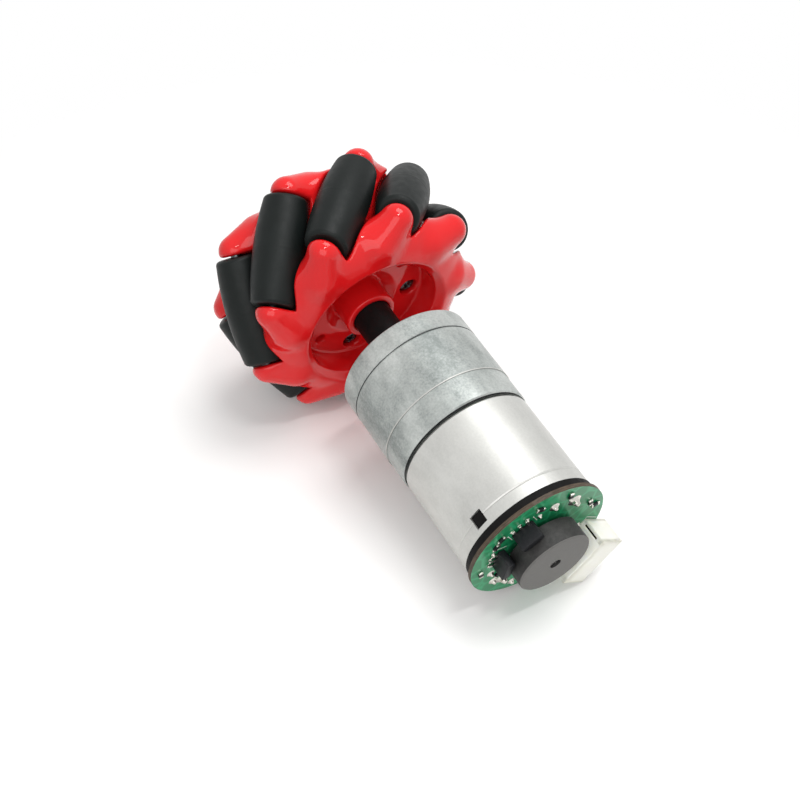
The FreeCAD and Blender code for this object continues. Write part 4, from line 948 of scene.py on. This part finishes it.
def add_socket():
    """Plug socket that opens outward, with a slot at each end of its back wall and a black tab behind it as
    painted shade.
    """
    wall = SOCKET_WALL
    low = -SOCKET_HEIGHT
    middle = SOCKET_START + SOCKET_DEPTH / 2
    back = SOCKET_START + wall
    slot_place = (SOCKET_WIDTH - SOCKET_SLOT) / 2 - wall
    bridge = SOCKET_HEIGHT * (1 - SLOT_SHARE)
    plate = (SOCKET_WIDTH, wall, SOCKET_DEPTH)
    back_wall = (2 * slot_place - SOCKET_SLOT, SOCKET_HEIGHT, 2 * (wall + PIN_COVER))
    end_wall = (wall, SOCKET_HEIGHT, SOCKET_DEPTH)
    slot_end = (2 * SOCKET_SLOT, bridge, 2 * wall)
    slot_shade_size = (SLOT_SHADE_WIDTH, SOCKET_HEIGHT * SLOT_SHARE, wall)
    parts = [
        block(plate, SOCKET_BEVEL, (0, -wall / 2, middle)),
        block(plate, SOCKET_BEVEL, (0, low + wall / 2, middle)),
        block(back_wall, SOCKET_BEVEL, (0, low / 2, back)),
    ]
    slot_shades = []
    for side in (-1, 1):
        across = side * slot_place
        parts.append(block(end_wall, SOCKET_BEVEL, (side * (SOCKET_WIDTH - wall) / 2, low / 2, middle)))
        parts.append(block(slot_end, SOCKET_BEVEL, (across, low + bridge / 2, back)))
        # Black tab behind the slot: painted shade deep in the slot
        slot_shades.append(block(slot_shade_size, SOCKET_BEVEL / 2, (across, low * SLOT_SHARE / 2, back)))
    place = on_board(SOCKET_ANGLE, 0)
    housing = joined([moved(part, place) for part in parts])
    piece = mesh_piece("socket_housing", *housing, sharp=EDGE_ANGLE)
    dress(piece, "socket_white", "motor", "plug_socket")
    inside = joined([moved(slot_shade, place) for slot_shade in slot_shades])
    dress(mesh_piece("socket_slot_shades", *inside, sharp=EDGE_ANGLE), "coupling_black", "motor")


def add_floor():
    """Pale floor under the object's lowest point, fading out into the background."""
    lowest = min(vertex.co.dot(UP) for node in NODES.values() for vertex in node.data.vertices)
    material, tree, shader = shade("pale_floor", (0.94, 0.94, 0.93), roughness=0.7)
    where = add_node(tree, "ShaderNodeTexCoord").outputs["Object"]
    far = add_node(tree, "ShaderNodeVectorMath", {0: where}, operation="LENGTH").outputs["Value"]
    tree.links.new(span(tree, far, 1.0, 0.0, *FLOOR_FADE), shader.inputs["Alpha"])
    angles = np.linspace(0, FULL_TURN, FLOOR_SIDES, endpoint=False)
    radius = FLOOR_RADIUS / MM
    rim = [(radius * math.cos(a), radius * math.sin(a), 0) for a in angles]
    floor = mesh_piece("floor", rim, [range(FLOOR_SIDES)])
    floor.rotation_mode = "QUATERNION"
    floor.rotation_quaternion = Vector((0, 0, 1)).rotation_difference(UP)
    floor.location = UP * (lowest - FLOOR_DROP)
    floor.data.materials.append(material)


def add_camera():
    """Camera at the photograph's viewing angle."""
    data = bpy.data.cameras.new("camera")
    data.lens = CAMERA_LENS
    data.sensor_width = FILM_WIDTH
    data.clip_start = CAMERA_NEAR
    camera = bpy.data.objects.new("camera", data)
    bpy.context.scene.collection.objects.link(camera)
    backward = (CAMERA_PLACE - CAMERA_AIM).normalized()
    right = UP.cross(backward).normalized()
    upward = backward.cross(right)
    turn = Matrix((right, upward, backward)).transposed().to_4x4()
    camera.matrix_world = Matrix.Translation(CAMERA_PLACE) @ turn
    bpy.context.scene.camera = camera


def add_lamp(name, right, away, up, width, depth, energy):
    """Rectangular soft lamp that looks at the object, placed by directions seen in the picture."""
    data = bpy.data.lights.new(name, "AREA")
    data.shape = "RECTANGLE"
    data.size = width
    data.size_y = depth
    data.energy = energy
    lamp = bpy.data.objects.new(name, data)
    bpy.context.scene.collection.objects.link(lamp)
    lamp.location = CAMERA_AIM + RIGHT * right + AWAY * away + UP * up
    lamp.rotation_euler = (CAMERA_AIM - lamp.location).to_track_quat("-Z", "Y").to_euler()


def add_world():
    """Soft light that is stronger from above, and a white surround for the camera and for reflections."""
    world = bpy.data.worlds.new("studio")
    bpy.context.scene.world = world
    world.use_nodes = True
    tree = world.node_tree
    tree.nodes.clear()
    way = add_node(tree, "ShaderNodeTexCoord").outputs["Generated"]
    height = add_node(tree, "ShaderNodeVectorMath", {0: way, 1: UP}, operation="DOT_PRODUCT").outputs["Value"]
    strength = span(tree, height, LEVEL_LIGHT, OVERHEAD_LIGHT, from_low=0, from_high=1)
    light = add_node(tree, "ShaderNodeBackground", {"Color": (1, 1, 1, 1), "Strength": strength})
    white = add_node(tree, "ShaderNodeBackground", {"Color": (1, 1, 1, 1), "Strength": 1.0})
    path = add_node(tree, "ShaderNodeLightPath").outputs
    seen = path["Is Camera Ray"]
    for label in ("Is Glossy Ray", "Is Transmission Ray"):
        seen = math_node(tree, "MAXIMUM", seen, path[label])
    mixed = add_node(tree, "ShaderNodeMixShader", {0: seen, 1: light.outputs[0], 2: white.outputs[0]})
    add_node(tree, "ShaderNodeOutputWorld", {"Surface": mixed.outputs[0]})


cross_head = screw_head()
add_plates()
add_rollers()
add_seams()
add_plate_screws(cross_head)
add_hub_screw(cross_head)
add_solder()
add_chips()
add_board_marks()
add_sensors()
add_socket()

add_floor()
add_camera()
add_world()
for lamp in LAMPS:
    add_lamp(*lamp)
bpy.context.scene.view_settings.view_transform = "Standard"
